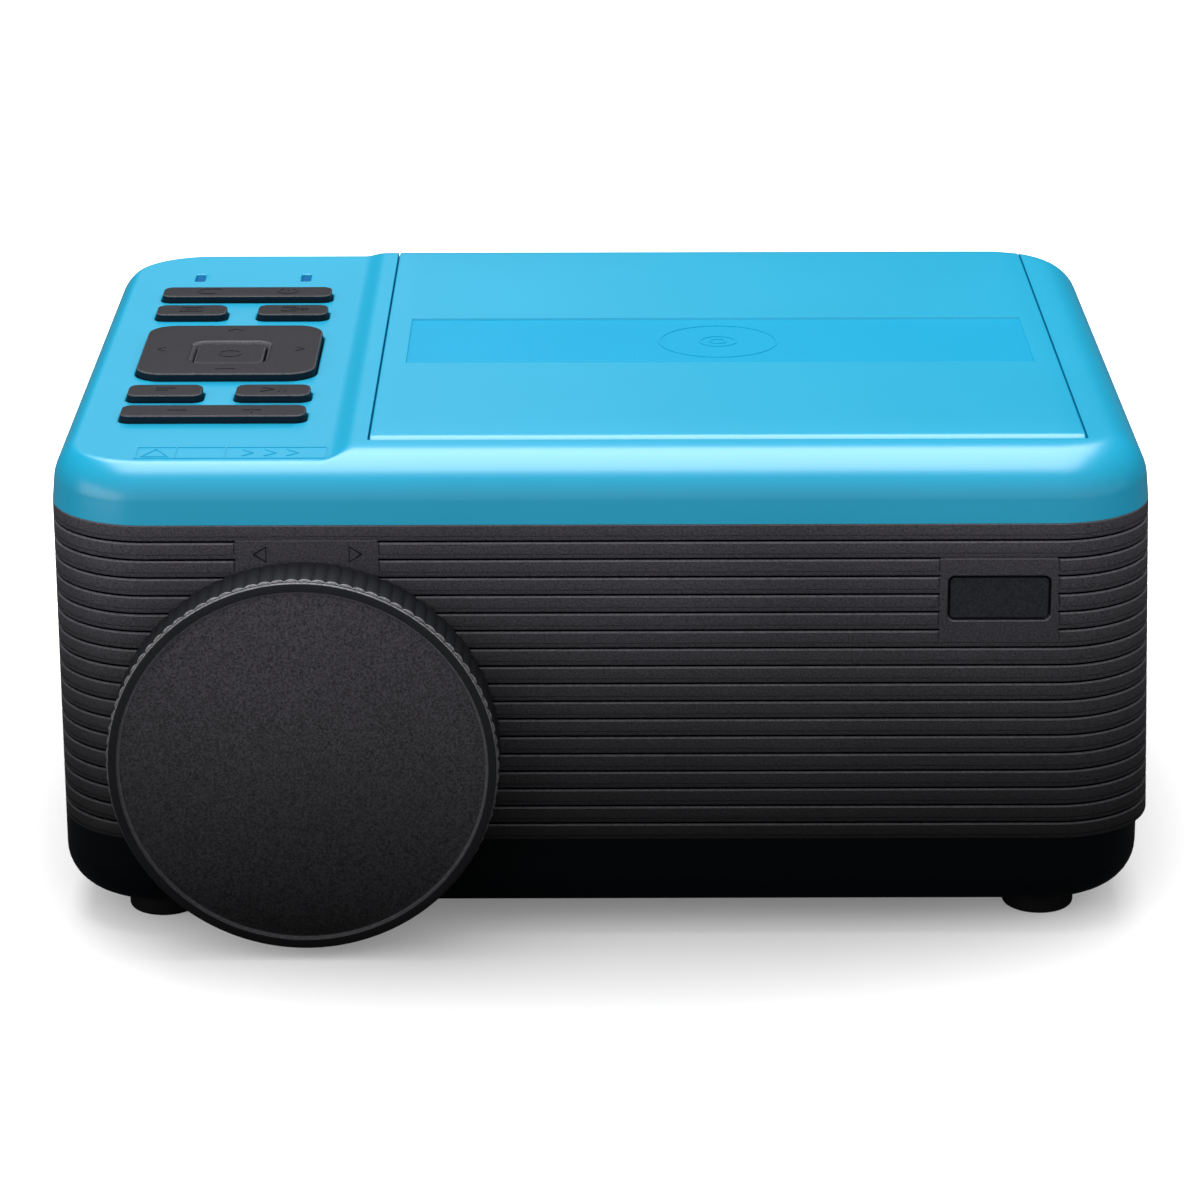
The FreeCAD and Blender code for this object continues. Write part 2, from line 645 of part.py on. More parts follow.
def ribbed_band():
    """Middle shell: ribs all round, openings for lens, receiver, sockets and air."""
    body = new_body("ribbed_band")
    # the right side leans out by the flare towards the tub
    loft(body, "AdditiveLoft", ("seam", case_outline()), ("band_low", flared_outline("0")))
    groove = pocket(body, "XY", "seam - rib_pitch", "seam - rib_height", case_outline("-corner_r"))
    row_of(body, groove, (body_axis(body, "Z_Axis"), [""]), "rib_pitch * (rib_count - 2)",
           "rib_count - 1", reverse=True)
    loft(body, "AdditiveLoft", ("seam", case_outline("groove_depth")),
         ("band_low", flared_outline("groove_depth")))
    pocket(body, "XY", "band_low", "seam", case_outline("wall"))
    # plain fields over the focus ring and round the receiver window
    pad(body, "XZ", "front", "front + wall",
        rectangle("lens_x - focus_land_left", "lens_x + focus_land_right",
                  "lens_z + lens_hole_r", "seam - groove_height"),
        rectangle("window_x - window_width / 2 - window_land_left",
                  "window_x + window_width / 2 + window_land_right",
                  "window_z - window_height / 2 - window_land_up",
                  "window_z + window_height / 2 + window_land_up"))
    pocket(body, "XZ", "front - 1", "front + wall + 1", window_outline("0"), lens_opening())
    # side openings for the air grilles and the rear one for the sockets
    pocket(body, "YZ", "-side - 1", "side + flare + 1", grille_outline("grille_sheet"))
    pocket(body, "XZ", "rear - wall - 1", "rear + 1", port_outline("0"))
    pad(body, "XY", "band_low", "band_low + screw_length", *band_posts("0"))
    pocket(body, "XY", "band_low", "band_low + screw_length - wall",
           *(circle(x, y, "thread_r") for x, y in screw_spots()))


def screw_spots():
    """Where the case screws stand."""
    return [(x, y) for x in ("-screw_x", "screw_x") for y in ("front + screw_in", "rear - screw_in")]


def band_posts(grow):
    """Plan of the posts that take the case screws, joined to the side walls and grown."""
    posts = []
    for x, y in screw_spots():
        left, right = f"{x} - post_half - ({grow})", "side - wall + root_overlap"
        if x.startswith("-"):
            left, right = "-side + wall - root_overlap", f"{x} + post_half + {grow}"
        posts.append(rectangle(left, right, f"{y} - post_half - ({grow})",
                               f"{y} + post_half + {grow}"))
    return posts


def flared_outline(inset):
    """The band's plan at its lower end."""
    return rectangle(f"-side + {inset}", f"side + flare - ({inset})", f"front + {inset}",
                     f"rear - ({inset})", f"corner_r - ({inset})")


def window_outline(shrink):
    return rectangle(f"window_x - window_width / 2 + {shrink}",
                     f"window_x + window_width / 2 - ({shrink})",
                     f"window_z - window_height / 2 + {shrink}",
                     f"window_z + window_height / 2 - ({shrink})", f"1 - ({shrink})")


def grille_outline(inset="0"):
    return rectangle(f"fan_at - grille_side / 2 + {inset}", f"fan_at + grille_side / 2 - ({inset})",
                     f"fan_z - grille_height / 2 + {inset}", f"fan_z + grille_height / 2 - ({inset})")


def port_outline(inset):
    return rectangle(f"port_x - port_width / 2 + {inset}", f"port_x + port_width / 2 - ({inset})",
                     f"port_low + {inset}", f"port_low + port_height - ({inset})", "2")


def bottom_tub():
    """Lower shell with rounded underside, foot seats, screw wells and the tripod boss."""
    body = new_body("bottom_tub")
    pad(body, "XY", "floor_gap", "band_low", case_outline())
    pocket(body, "XY", "floor_gap + tub_floor", "band_low", case_outline("wall"))
    round_edges(body, "tub_edge_r - wall", at_height("floor_gap + tub_floor"))
    round_edges(body, "tub_edge_r", at_height("floor_gap"))
    locating_lip(body, "band_low", "wall", downwards=False)
    pocket(body, "XY", "band_low", "band_low + lip_height", *band_posts("small_gap"))
    pocket(body, "XZ", "front - 1", "front + wall + lip_gap + lip_wall + 1", lens_opening())
    # screw wells, foot seats, tripod boss and supports for boards and light engine
    pad(body, "XY", "floor_gap + tub_floor", "band_low",
        *(circle(x, y, "post_half") for x, y in screw_spots()))
    pocket(body, "XY", "floor_gap", "band_low",
           *(circle(x, y, "thread_r + lip_gap") for x, y in screw_spots()))
    pocket(body, "XY", "floor_gap", "floor_gap + head_height + 1",
           *(circle(x, y, "head_r + small_gap") for x, y in screw_spots()))
    pocket(body, "XY", "floor_gap", "floor_gap + tub_floor",
           *(circle(x, y, "foot_plug_r + lip_gap") for x in ("-foot_x", "foot_x")
             for y in ("front + foot_in", "rear - foot_in")))
    pad(body, "XY", "floor_gap + tub_floor", "floor_gap + bush_height",
        circle("0", "0", "bush_r + bush_wall"))
    pocket(body, "XY", "floor_gap", "floor_gap + bush_height", circle("0", "0", "bush_r"))
    pad(body, "XY", "floor_gap + tub_floor - root_overlap", "board_z",
        *(circle(f"main_x {side} (main_width / 2 - 4)", y, "3") for side in "-+"
          for y in ("front + power_y", "rear - 2 - main_depth", "rear - 12")))
    pad(body, "XY", "floor_gap + tub_floor - root_overlap", "engine_low",
        *(circle(f"lens_x {side} (engine_width / 2 - 6)", y, "4") for side in "-+"
          for y in ("engine_y + 6", "engine_back - 6")))


def rubber_feet():
    """Four feet with plugs that hold them in the tub."""
    body = new_body("rubber_feet")
    spots = [(x, y) for x in ("-foot_x", "foot_x")
             for y in ("front + foot_in", "rear - foot_in")]
    pad(body, "XY", "0", "floor_gap", *(circle(x, y, "foot_r") for x, y in spots))
    pad(body, "XY", "floor_gap", "floor_gap + tub_floor - root_overlap",
        *(circle(x, y, "foot_plug_r") for x, y in spots))
    round_edges(body, "1", at_height("0"))


def case_screws():
    """Four long screws from below that clamp the tub to the band."""
    body = new_body("case_screws")
    seat = "floor_gap + head_height + 1"
    pad(body, "XY", "floor_gap + 1", seat, *(circle(x, y, "head_r") for x, y in screw_spots()))
    pad(body, "XY", seat, f"{seat} + screw_length",
        *(circle(x, y, "thread_r") for x, y in screw_spots()))


def tripod_bush():
    body = new_body("tripod_bush")
    pad(body, "XY", "floor_gap", "floor_gap + bush_height", circle("0", "0", "bush_r"))
    pocket(body, "XY", "floor_gap", "floor_gap + bush_hole", circle("0", "0", "bush_hole_r"))


def receiver():
    """Dark window in the front and the sensor behind it."""
    body = new_body("receiver_window")
    pad(body, "XZ", "front + 0.4", "front + wall", window_outline("window_gap"))
    pad(body, "XZ", "front + wall", "front + wall + 1", window_outline("-1.2"))
    body = new_body("receiver_sensor")
    pad(body, "XZ", "front + wall + 1", "front + wall + 5",
        rectangle("window_x - 4", "window_x + 4", "window_z - 4", "window_z + 4"))


def grille(label, inner, flange, face):
    """Slatted side insert: flange behind the wall, slats in the opening."""
    body = new_body(label)
    pad(body, "YZ", *sorted([inner, flange], key=value), grille_outline())
    pad(body, "YZ", *sorted([flange, face], key=value), grille_outline("grille_sheet + 0.1"))
    pitch = "grille_slat + grille_slot"
    start = "fan_z - grille_height / 2 + grille_slat + grille_slot"
    low, high = sorted([inner, face], key=value)
    slot = pocket(body, "YZ", f"{low} - 1", f"{high} + 1",
                  rectangle("fan_at - grille_side / 2 + 2 * grille_slot",
                            "fan_at + grille_side / 2 - 2 * grille_slot",
                            start, f"{start} + grille_slot"))
    row_of(body, slot, (body_axis(body, "Z_Axis"), [""]), f"6 * ({pitch})", "7")


def grilles():
    grille("left_grille", "-grille_in", "-(side - wall)", "-(side - groove_depth)")
    grille("right_grille", "grille_in", "side - wall", "side + flare / 4")


# ---- lid and disc drive ----

def disc_lid():
    """Lid with side rims, a skirt over the rear edge, a hinge barrel and a shallow field."""
    body = new_body("disc_lid")
    pad(body, "XY", "seam", "top", case_outline(), draft="-cover_draft")
    round_edges(body, "cover_edge_r", at_height("top"))
    pocket(body, "XY", "seam", "skirt_low", case_outline("-corner_r"))
    pocket(body, "XY", "skirt_low - 1", "top + 1", case_outline("-corner_r"),
           rectangle("lid_left", "lid_right", "hinge_y", "rear + corner_r / 2"))
    pocket(body, "XY", "skirt_low - 1", "rim_low",
           rectangle("lid_left - 1", "lid_right + 1", "hinge_y - 1", "rear - cover_wall - 0.6"))
    pocket(body, "XY", "rim_low", "lid_under", rectangle(
        "lid_left + lid_rim", "lid_right - lid_rim", "hinge_y - 1", "rear - cover_edge_r"))
    pad(body, "YZ", "lid_left", "lid_right", circle("hinge_y", "hinge_z", "hinge_r"))
    bore = circle("hinge_y", "hinge_z", "pin_r")
    pocket(body, "YZ", "lid_left", "lid_left + pin_hold", bore)
    pocket(body, "YZ", "lid_right - pin_hold", "lid_right", bore)
    pocket(body, "XY", "top - label_drop", "top + 1", rectangle(
        "lid_x - label_width / 2", "lid_x + label_width / 2",
        "front + label_y - label_depth / 2", "front + label_y + label_depth / 2"))
    body = new_body("hinge_pins")
    pad(body, "YZ", "lid_left - lid_gap - pin_reach", "lid_left + pin_hold", bore)
    pad(body, "YZ", "lid_right - pin_hold", "lid_right + lid_gap + pin_reach", bore)
    body = new_body("lid_liner")
    pad(body, "XY", "liner_under", "lid_under", rectangle(
        "lid_left + 2 * lid_rim", "lid_right - 2 * lid_rim",
        "hinge_y + 2 * hinge_r", "rear - 13", "4"))


def disc_deck():
    """Fixed deck under the lid: disc well, hub opening, pickup slot and the catch's hole."""
    body = new_body("disc_deck")
    pad(body, "XY", "deck_top - deck_wall", "deck_top", rectangle(
        "lid_left - lid_gap - lid_rim - pin_reach", "lid_right + lid_gap + lid_rim + pin_reach",
        "lid_low_y - lid_gap - 2 * lid_rim", "rear - 2 * cover_wall", "deck_corner_r"))
    pad(body, "XY", "well_under", "deck_top - deck_wall",
        circle("lid_x", "spindle_y", "well_r + deck_wall"))
    pocket(body, "XY", "well_floor", "deck_top", circle("lid_x", "spindle_y", "well_r"))
    pocket(body, "XY", "well_under", "well_floor",
           circle("lid_x", "spindle_y", "hub_r + hub_gap"))
    pocket(body, "XY", "well_under", "well_floor",
           rectangle("lid_x - slot_half", "lid_x + slot_half",
                     "spindle_y - slot_reach", "spindle_y"))
    hole = circle("catch_x", "front + catch_y", "catch_r + running_gap")
    pocket(body, "XY", "deck_top - deck_wall", "deck_top", hole)
    body = new_body("catch_sleeve")
    low = "deck_top - deck_wall - catch_depth"
    pad(body, "XY", low, "deck_top - deck_wall",
        circle("catch_x", "front + catch_y", "catch_r + catch_wall"))
    pocket(body, "XY", f"{low} + catch_wall", "deck_top - deck_wall", hole)
    body = new_body("catch_plunger")
    pad(body, "XY", f"{low} + catch_wall + 1.5", "liner_under - small_gap",
        circle("catch_x", "front + catch_y", "catch_r"))
    round_edges(body, "0.8", at_height("liner_under - small_gap"))


def disc_drive():
    """Chassis hung on dampers, with spindle motor, turntable, rods, sled and lead screw."""
    body = new_body("drive_chassis")
    chassis_low = "spindle_y + chassis_rear - chassis_depth"
    pad(body, "XY", "chassis_top - chassis_sheet", "chassis_top", rectangle(
        "lid_x - chassis_width / 2", "lid_x + chassis_width / 2",
        chassis_low, "spindle_y + chassis_rear", "4"))
    ends = (("spindle_y - rod_front", "spindle_y - rod_front + rod_post"),
            ("spindle_y - rod_rear - rod_post", "spindle_y - rod_rear"))
    rods = ("lid_x - rod_space", "lid_x + rod_space")
    pad(body, "XY", "chassis_top", "rod_z + 2 * rod_r - 0.5",
        *(rectangle(f"{x} - 2 * rod_r", f"{x} + 2 * rod_r", y0, y1)
          for x in rods for y0, y1 in ends),
        rectangle("screw_at - 2 * screw_r", "screw_at + 2 * screw_r", *ends[0]))
    pocket(body, "XZ", "spindle_y - rod_front - 1", "spindle_y",
           *(circle(x, "rod_z", "rod_r") for x in rods),
           circle("screw_at", "rod_z", "screw_r + running_gap"))

    body = new_body("drive_dampers")
    pad(body, "XY", "chassis_top", "deck_top - deck_wall",
        *(circle(f"lid_x {side} 15", f"{chassis_low} + 3.5", "damper_r") for side in "-+"))
    pad(body, "XY", "chassis_top", "well_under",
        *(circle(f"lid_x {side} (chassis_width / 2 - 3.5)", "spindle_y + chassis_rear - 4",
                 "damper_r") for side in "-+"))

    body = new_body("spindle_motor")
    pad(body, "XY", "chassis_top", "chassis_top + motor_height",
        circle("lid_x", "spindle_y", "motor_r"), circle("lid_x", "spindle_y", "spindle_r"))

    body = new_body("turntable")
    under = "disc_z - turntable_sheet"
    turned(body, "Revolution", "Z", ("lid_x", "spindle_y"),
           ("0", "chassis_top + 1"), ("spindle_r - running_gap", "chassis_top + 1"),
           ("spindle_r - running_gap", "chassis_top + motor_height + small_gap"),
           ("neck_r", "chassis_top + motor_height + small_gap"), ("neck_r", under),
           ("hub_r", under), ("hub_r", "disc_z"), ("boss_r", "disc_z"),
           ("boss_r", "disc_z + boss_height - 1"), ("boss_r - 1", "disc_z + boss_height"),
           ("0", "disc_z + boss_height"))

    body = new_body("guide_rods")
    pad(body, "XZ", "spindle_y - rod_front", "spindle_y - rod_rear",
        *(circle(x, "rod_z", "rod_r") for x in rods))

    body = new_body("pickup_sled")
    pad(body, "XY", "sled_low", "sled_top", rectangle(
        "screw_at - 2 * screw_r", "lid_x + sled_width / 2",
        "sled_y - sled_depth / 2", "sled_y + sled_depth / 2", "2"))
    pocket(body, "XZ", "sled_y - sled_depth", "sled_y + sled_depth",
           *(circle(x, "rod_z", "rod_r + running_gap") for x in rods),
           circle("screw_at", "rod_z", "screw_r + running_gap"))
    body = new_body("pickup_lens")
    pad(body, "XY", "sled_top", "sled_top + 1.6",
        rectangle("lid_x - 2 * pickup_r", "lid_x + 2 * pickup_r",
                  "sled_y - 1.5 * pickup_r", "sled_y + 1.5 * pickup_r", "1.5"))
    pad(body, "XY", "sled_top + 1.6", "well_floor + 0.6", circle("lid_x", "sled_y", "pickup_r"))
    round_edges(body, "1", at_height("well_floor + 0.6"))

    body = new_body("sled_motor")
    motor_low = "spindle_y - rod_rear + small_gap"
    pad(body, "XZ", motor_low, f"{motor_low} + sled_motor_length",
        circle("screw_at", "rod_z", "sled_motor_r"))
    pocket(body, "XZ", motor_low, f"{motor_low} + 4",
           circle("screw_at", "rod_z", "screw_r + running_gap"))
    pad(body, "XY", "chassis_top", "rod_z - sled_motor_r + 0.6",
        rectangle("screw_at - 2", "screw_at + 2", motor_low, f"{motor_low} + sled_motor_length"))
    body = new_body("lead_screw")
    pad(body, "XZ", "spindle_y - rod_front", f"{motor_low} + 3",
        circle("screw_at", "rod_z", "screw_r"))


# ---- keys ----

def key_body(label, number, rise, stems, window=None):
    """One key: cap in its window, flange below the panel and stems over the mat."""
    body = new_body(label)
    under = "ceiling - key_play"
    plan = rectangle(*key_windows("0")[number])
    pad(body, "XY", under, f"panel + {rise}", plan)
    round_edges(body, "0.9", at_height(f"panel + {rise}"))
    pad(body, "XY", f"{under} - key_flange", under, rectangle(*key_windows("1")[number]))
    if window:
        pocket(body, "XY", f"{under} - key_flange", f"panel + {rise}", window)
    pad(body, "XY", "mat_top + key_throw", f"{under} - key_flange",
        *(circle(x, y, "stem_r") for x, y in stems))
    return body


def keys():
    left, right = "pad_x - pad_half + key_width / 2", "pad_x + pad_half - key_width / 2"
    for label, number, x, y in (
            ("front_left_key", 1, left, "front_keys_y"), ("front_right_key", 2, right, "front_keys_y"),
            ("rear_left_key", 4, left, "rear_keys_y"), ("rear_right_key", 5, right, "rear_keys_y")):
        key_body(label, number, "key_rise", [(x, f"front + {y}")])
    for label, number, y in (("front_bar_key", 0, "front_bar_y"), ("rear_bar_key", 6, "rear_bar_y")):
        key_body(label, number, "key_rise", [(x, f"front + {y}") for x in (left, right)])

    def centre_plan(grow):
        return rectangle(f"pad_x - centre_width / 2 - ({grow})",
                         f"pad_x + centre_width / 2 + {grow}",
                         f"front + centre_y - centre_depth / 2 - ({grow})",
                         f"front + centre_y + centre_depth / 2 + {grow}", f"key_r + {grow}")

    key_body("nav_pad", 3, "key_rise",
             [(f"pad_x {side} 15", "front + nav_y") for side in "-+"]
             + [("pad_x", f"front + nav_y {side} 15.5") for side in "-+"],
             window=centre_plan("key_gap"))
    body = new_body("centre_key")
    pad(body, "XY", "ceiling - key_play", "panel + centre_rise", centre_plan("0"))
    round_edges(body, "0.7", at_height("panel + centre_rise"))
    pad(body, "XY", "mat_top + key_throw", "ceiling - key_play",
        circle("pad_x", "front + centre_y", "stem_r"))
    # the gimbal ring that the direction pad tilts on
    body = new_body("nav_gimbal")
    high = "ceiling - key_play - key_flange - small_gap"
    pad(body, "XY", f"{high} - 1.4", high, rectangle(
        "pad_x - 11.5", "pad_x + 11.5", "front + nav_y - 11.5", "front + nav_y + 11.5", "3"),
        rectangle("pad_x - 8", "pad_x + 8", "front + nav_y - 9", "front + nav_y + 8", "2"))


def key_electronics():
    """Rubber mat and board under the keys, and the two light guides."""
    plan = ("pad_x - pad_half - 2", "pad_x + pad_half + 2", "front + 28", "front + 156", "2")
    spots = key_posts()
    body = new_body("key_board")
    pad(body, "XY", "key_board_z - board_sheet", "key_board_z", rectangle(*plan))
    body = new_body("key_mat")
    pad(body, "XY", "key_board_z", "mat_top",
        rectangle(plan[0], plan[1], plan[2], "front + 140", "2"),
        *(circle(x, y, "post_r + small_gap") for x, y in spots))
    body = new_body("indicator_lights")
    pad(body, "XY", "key_board_z", "panel - 0.5", *light_slots("0.1"))


# ---- projection lens ----

def focus_ring():
    """Knurled ring with a sleeve that turns on the lens guide tube."""
    body = new_body("focus_ring")
    face, web = "ring_front + small_gap", "ring_back - 3"
    bore, inner = "tube_r + running_gap", "ring_r - ring_wall"
    form = turned(body, "Revolution", "Y", ("lens_x", "lens_z"),
                  (inner, face), ("ring_r", face), ("ring_r", "ring_back"),
                  ("sleeve_r", "ring_back"), ("sleeve_r", "front + sleeve_reach"),
                  (bore, "front + sleeve_reach"), (bore, web), (inner, web))
    flute = pocket(body, "XZ", f"{face} - 1", "ring_back + 1",
                   circle("lens_x", "lens_z + ring_r + flute_r - flute_depth", "flute_r"))
    ring_of(body, flute, (form.Profile[0], ["V_Axis"]), "flute_count")


def lens_cap():
    body = new_body("lens_cap")
    outside = "ring_r - ring_wall - cap_gap"
    turned(body, "Revolution", "Y", ("lens_x", "lens_z"),
           ("0", "cap_front + cap_face_drop"), ("cap_face_r", "cap_front + cap_face_drop"),
           ("cap_face_r", "cap_front"), ("cap_r - 0.6", "cap_front"), ("cap_r", "cap_front + 0.6"),
           ("cap_r", "ring_front"), (outside, "ring_front"),
           (outside, "ring_front + cap_skirt"), (f"{outside} - 1.5", "ring_front + cap_skirt"),
           (f"{outside} - 1.5", "ring_front"), ("0", "ring_front"))


def lens_parts():
    """Guide tube on the engine, focusing barrel and its two lenses."""
    body = new_body("lens_guide_tube")
    inner = "tube_r - tube_wall"
    turned(body, "Revolution", "Y", ("lens_x", "lens_z"),
           (inner, "front + tube_front"), ("tube_r", "front + tube_front"),
           ("tube_r", "engine_y - 2.5"), ("tube_r + 3", "engine_y - 2.5"),
           ("tube_r + 3", "engine_y"), (inner, "engine_y"))
    body = new_body("lens_barrel")
    back = "front + barrel_length"
    turned(body, "Revolution", "Y", ("lens_x", "lens_z"),
           ("glass_r", "front"), ("barrel_r", "front"), ("barrel_r", back), ("glass_r", back))
    glass("front_lens", "front + 2.5", "front_glass", "glass_r", "3", "lens_x", "lens_z")
    glass("rear_lens", f"{back} - 2 - rear_glass", "rear_glass", "glass_r", "2",
          "lens_x", "lens_z")


def glass(label, low, thickness, radius, bulge, x, z):
    """A round lens along Y with a domed front and a flat back."""
    rod = doc.addObject("Part::Cylinder", label + "_rod")
    bind(rod, "Radius", radius)
    bind(rod, "Height", thickness)
    ball = doc.addObject("Part::Sphere", label + "_ball")
    reach = f"(({radius}) * ({radius}) + ({bulge}) * ({bulge})) / (2 * ({bulge}))"
    bind(ball, "Radius", reach)
    for thing, y in ((rod, f"{low} + {thickness}"), (ball, f"{low} + {reach}")):
        thing.Placement = FreeCAD.Placement(Vector(), FreeCAD.Rotation(Vector(1, 0, 0), 90))
        for side, text in zip("xyz", (x, y, z)):
            bind(thing, "Placement.Base." + side, text)
    lens = doc.addObject("Part::MultiCommon", label)
    lens.Label = label
    lens.Shapes = [rod, ball]
    doc.recompute()
    nodes.append(lens)


# ---- light engine and cooling ----

def light_engine():
    """Box behind the lens with picture panel, condenser plates, lamp and heat sink."""
    left, right = "lens_x - engine_width / 2", "lens_x + engine_width / 2"
    low, high = "engine_low", "engine_low + engine_height"
    body = new_body("engine_housing")
    pad(body, "XY", low, high, rectangle(left, right, "engine_y", "engine_back", "3"))
    inside = (f"{left} + engine_wall", f"{right} - engine_wall",
              f"{low} + engine_wall", f"{high} - engine_wall")
    pocket(body, "XZ", "engine_y + engine_wall", "engine_back", rectangle(*inside))
    pocket(body, "XZ", "engine_y", "engine_y + engine_wall",
           circle("lens_x", "lens_z", "glass_r"))
    body = new_body("screen_panel")
    pad(body, "XZ", "screen_at", "screen_at + screen_sheet", rectangle(*inside))
    body = new_body("condenser_plates")
    for side in "-+":
        start = f"screen_at {side} plate_space"
        pad(body, "XZ", start, f"{start} + plate_sheet", rectangle(*inside))
    pad(body, "XZ", "front + condenser_y", "front + condenser_y + plate_sheet",
        rectangle(*inside), circle("lens_x", "lens_z", "condenser_r"))
    glass("condenser_lens", "front + condenser_y - 3", "8", "condenser_r", "3",
          "lens_x", "lens_z")
    body = new_body("lamp_plate")
    pad(body, "XZ", "engine_back", "engine_back + led_sheet", rectangle(left, right, low, high))
    pad(body, "XZ", "engine_back - 1.5", "engine_back", circle("lens_x", "lens_z", "led_r"))
    body = new_body("heat_sink")
    start = "engine_back + led_sheet"
    x0, x1 = "lens_x - sink_width / 2", "lens_x + sink_width / 2"
    z0, z1 = "lens_z - sink_height / 2", "lens_z + sink_height / 2"
    pad(body, "XZ", start, f"{start} + sink_base", rectangle(x0, x1, z0, z1))
    fin = pad(body, "XZ", f"{start} + sink_base", f"{start} + sink_depth",
              rectangle(x0, f"{x0} + fin_sheet", z0, z1))
    row_of(body, fin, (body_axis(body, "X_Axis"), [""]), "sink_width - fin_sheet", "fin_count")


def fan():
    """Square fan behind the left grille."""
    body = new_body("fan_frame")
    back = "fan_out + fan_depth"
    half = "fan_side / 2"
    pad(body, "YZ", "fan_out", back, rectangle(
        f"fan_at - {half}", f"fan_at + {half}", f"fan_z - {half}", f"fan_z + {half}", "4"),
        circle("fan_at", "fan_z", "fan_hole_r"))
    for wide, tall in (("fan_hole_r + 1", "1.5"), ("1.5", "fan_hole_r + 1")):
        pad(body, "YZ", f"{back} - 2", back, rectangle(
            f"fan_at - ({wide})", f"fan_at + {wide}", f"fan_z - ({tall})", f"fan_z + {tall}"))
    pad(body, "YZ", f"{back} - 2", back, circle("fan_at", "fan_z", "fan_hub_r"))
    pocket(body, "YZ", f"{back} - 2", back, circle("fan_at", "fan_z", "spindle_r + running_gap"))
    body = new_body("fan_rotor")
    start, end = "fan_out + 1", f"{back} - 2.5"
    form = turned(body, "Revolution", "X", ("fan_at", "fan_z"),
                  ("0", start), ("fan_hub_r", start), ("fan_hub_r", end), ("spindle_r", end),
                  ("spindle_r", f"{back} - 0.5"), ("0", f"{back} - 0.5"))
    blade = pad(body, "XY", "fan_z + fan_hub_r - 1", "fan_z + blade_reach - 0.5", polygon(
        (start, "fan_at - 4"), (f"{start} + blade_sheet", "fan_at - 4.6"),
        (end, "fan_at + 4"), (f"{end} - blade_sheet", "fan_at + 4.6")))
    ring_of(body, blade, (form.Profile[0], ["H_Axis"]), "blade_count")


# ---- boards, sockets and loudspeaker ----

def boards():
    body = new_body("main_board")
    pad(body, "XY", "board_z", "board_top", rectangle(
        "main_x - main_width / 2", "main_x + main_width / 2",
        "rear - 6 - main_depth", "rear - 6", "2"))
    body = new_body("power_board")
    pad(body, "XY", "board_z", "board_top", rectangle(
        "main_x - power_width / 2", "main_x + power_width / 2",
        "front + power_y - power_depth / 2", "front + power_y + power_depth / 2", "2"))
    # chips, coils and capacitors, each given as middle x, y behind the front, sizes
    body = new_body("board_parts")
    for x, y, wide, deep, tall in ((40, 110, 22, 22, 2.4), (70, 90, 12, 18, 1.8),
                                   (20, 88, 10, 14, 1.8), (66, 124, 10, 10, 4),
                                   (28, 34, 24, 20, 16), (76, 34, 18, 18, 10)):
        pad(body, "XY", "board_top", f"board_top + {tall}", rectangle(
            f"{x} - {wide} / 2", f"{x} + {wide} / 2",
            f"front + {y} - {deep} / 2", f"front + {y} + {deep} / 2"))
    pad(body, "XY", "board_top", "board_top + 14", circle("54", "front + 34", "6"),
        circle("20", "front + 132", "5"))


def sockets():
    """Rear plate and the sockets behind it, standing on the main board."""
    spots = {"inlet": ("port_x - 32", "board_top + dc_body"),
             "picture": ("port_x - 13", "board_top + socket_wall + picture_height / 2"),
             "data": ("port_x + 9", "board_top + socket_wall + data_height / 2"),
             "sound": ("port_x + 24", "board_top + jack_body"),
             "sound_out": ("port_x + 34", "board_top + jack_body")}

    def mouth(name, wide, tall, grow="0"):
        x, z = spots[name]
        return rectangle(f"{x} - {wide} / 2 - ({grow})", f"{x} + {wide} / 2 + {grow}",
                         f"{z} - {tall} / 2 - ({grow})", f"{z} + {tall} / 2 + {grow}")

    plate = new_body("socket_plate")
    pad(plate, "XZ", "rear - port_sheet - 0.4", "rear - 0.4", port_outline("0.1"))
    pad(plate, "XZ", "rear - wall - 1.2", "rear - port_sheet - 0.4", port_outline("0.1"))
    pad(plate, "XZ", "rear - wall - 1.2", "rear - wall", port_outline("-1.2"))
    pocket(plate, "XZ", "rear - 2 * wall", "rear + 1",
           mouth("picture", "picture_width", "picture_height"),
           mouth("data", "data_width", "data_height"),
           circle(*spots["sound"], "jack_r"), circle(*spots["sound_out"], "jack_r"),
           circle(*spots["inlet"], "dc_r"))
    face = "rear - wall - 1.2"
    for name, wide, tall in (("picture", "picture_width", "picture_height"),
                             ("data", "data_width", "data_height")):
        body = new_body(name + "_socket")
        pad(body, "XZ", f"{face} - socket_depth", face, mouth(name, wide, tall, "socket_wall"))
        pocket(body, "XZ", f"{face} - socket_depth + 1.5", face, mouth(name, wide, tall))
    body = new_body("sound_jacks")
    for name in ("sound", "sound_out"):
        x, z = spots[name]
        pad(body, "XZ", f"{face} - socket_depth", face, rectangle(
            f"{x} - jack_body", f"{x} + jack_body", f"{z} - jack_body", f"{z} + jack_body"))
        pocket(body, "XZ", f"{face} - socket_depth + 1.5", face, circle(x, z, "jack_r"))
    body = new_body("power_inlet")
    x, z = spots["inlet"]
    pad(body, "XZ", f"{face} - socket_depth", face, rectangle(
        f"{x} - dc_body", f"{x} + dc_body", f"{z} - dc_body", f"{z} + dc_body"))
    pocket(body, "XZ", f"{face} - socket_depth + 1.5", face, circle(x, z, "dc_r"))


def loudspeaker():
    body = new_body("loudspeaker")
    face = "grille_in"
    turned(body, "Revolution", "X", ("front + speaker_y", "fan_z"),
           ("0", f"{face} - 4"), ("speaker_r * 0.4", f"{face} - 5"),
           ("speaker_r - 3", f"{face} - 1"), ("speaker_r - 3", face), ("speaker_r", face),
           ("speaker_r", f"{face} - 2.5"), ("speaker_r * 0.5", f"{face} - 7"),
           ("speaker_r * 0.5", f"{face} - speaker_depth"), ("0", f"{face} - speaker_depth"))



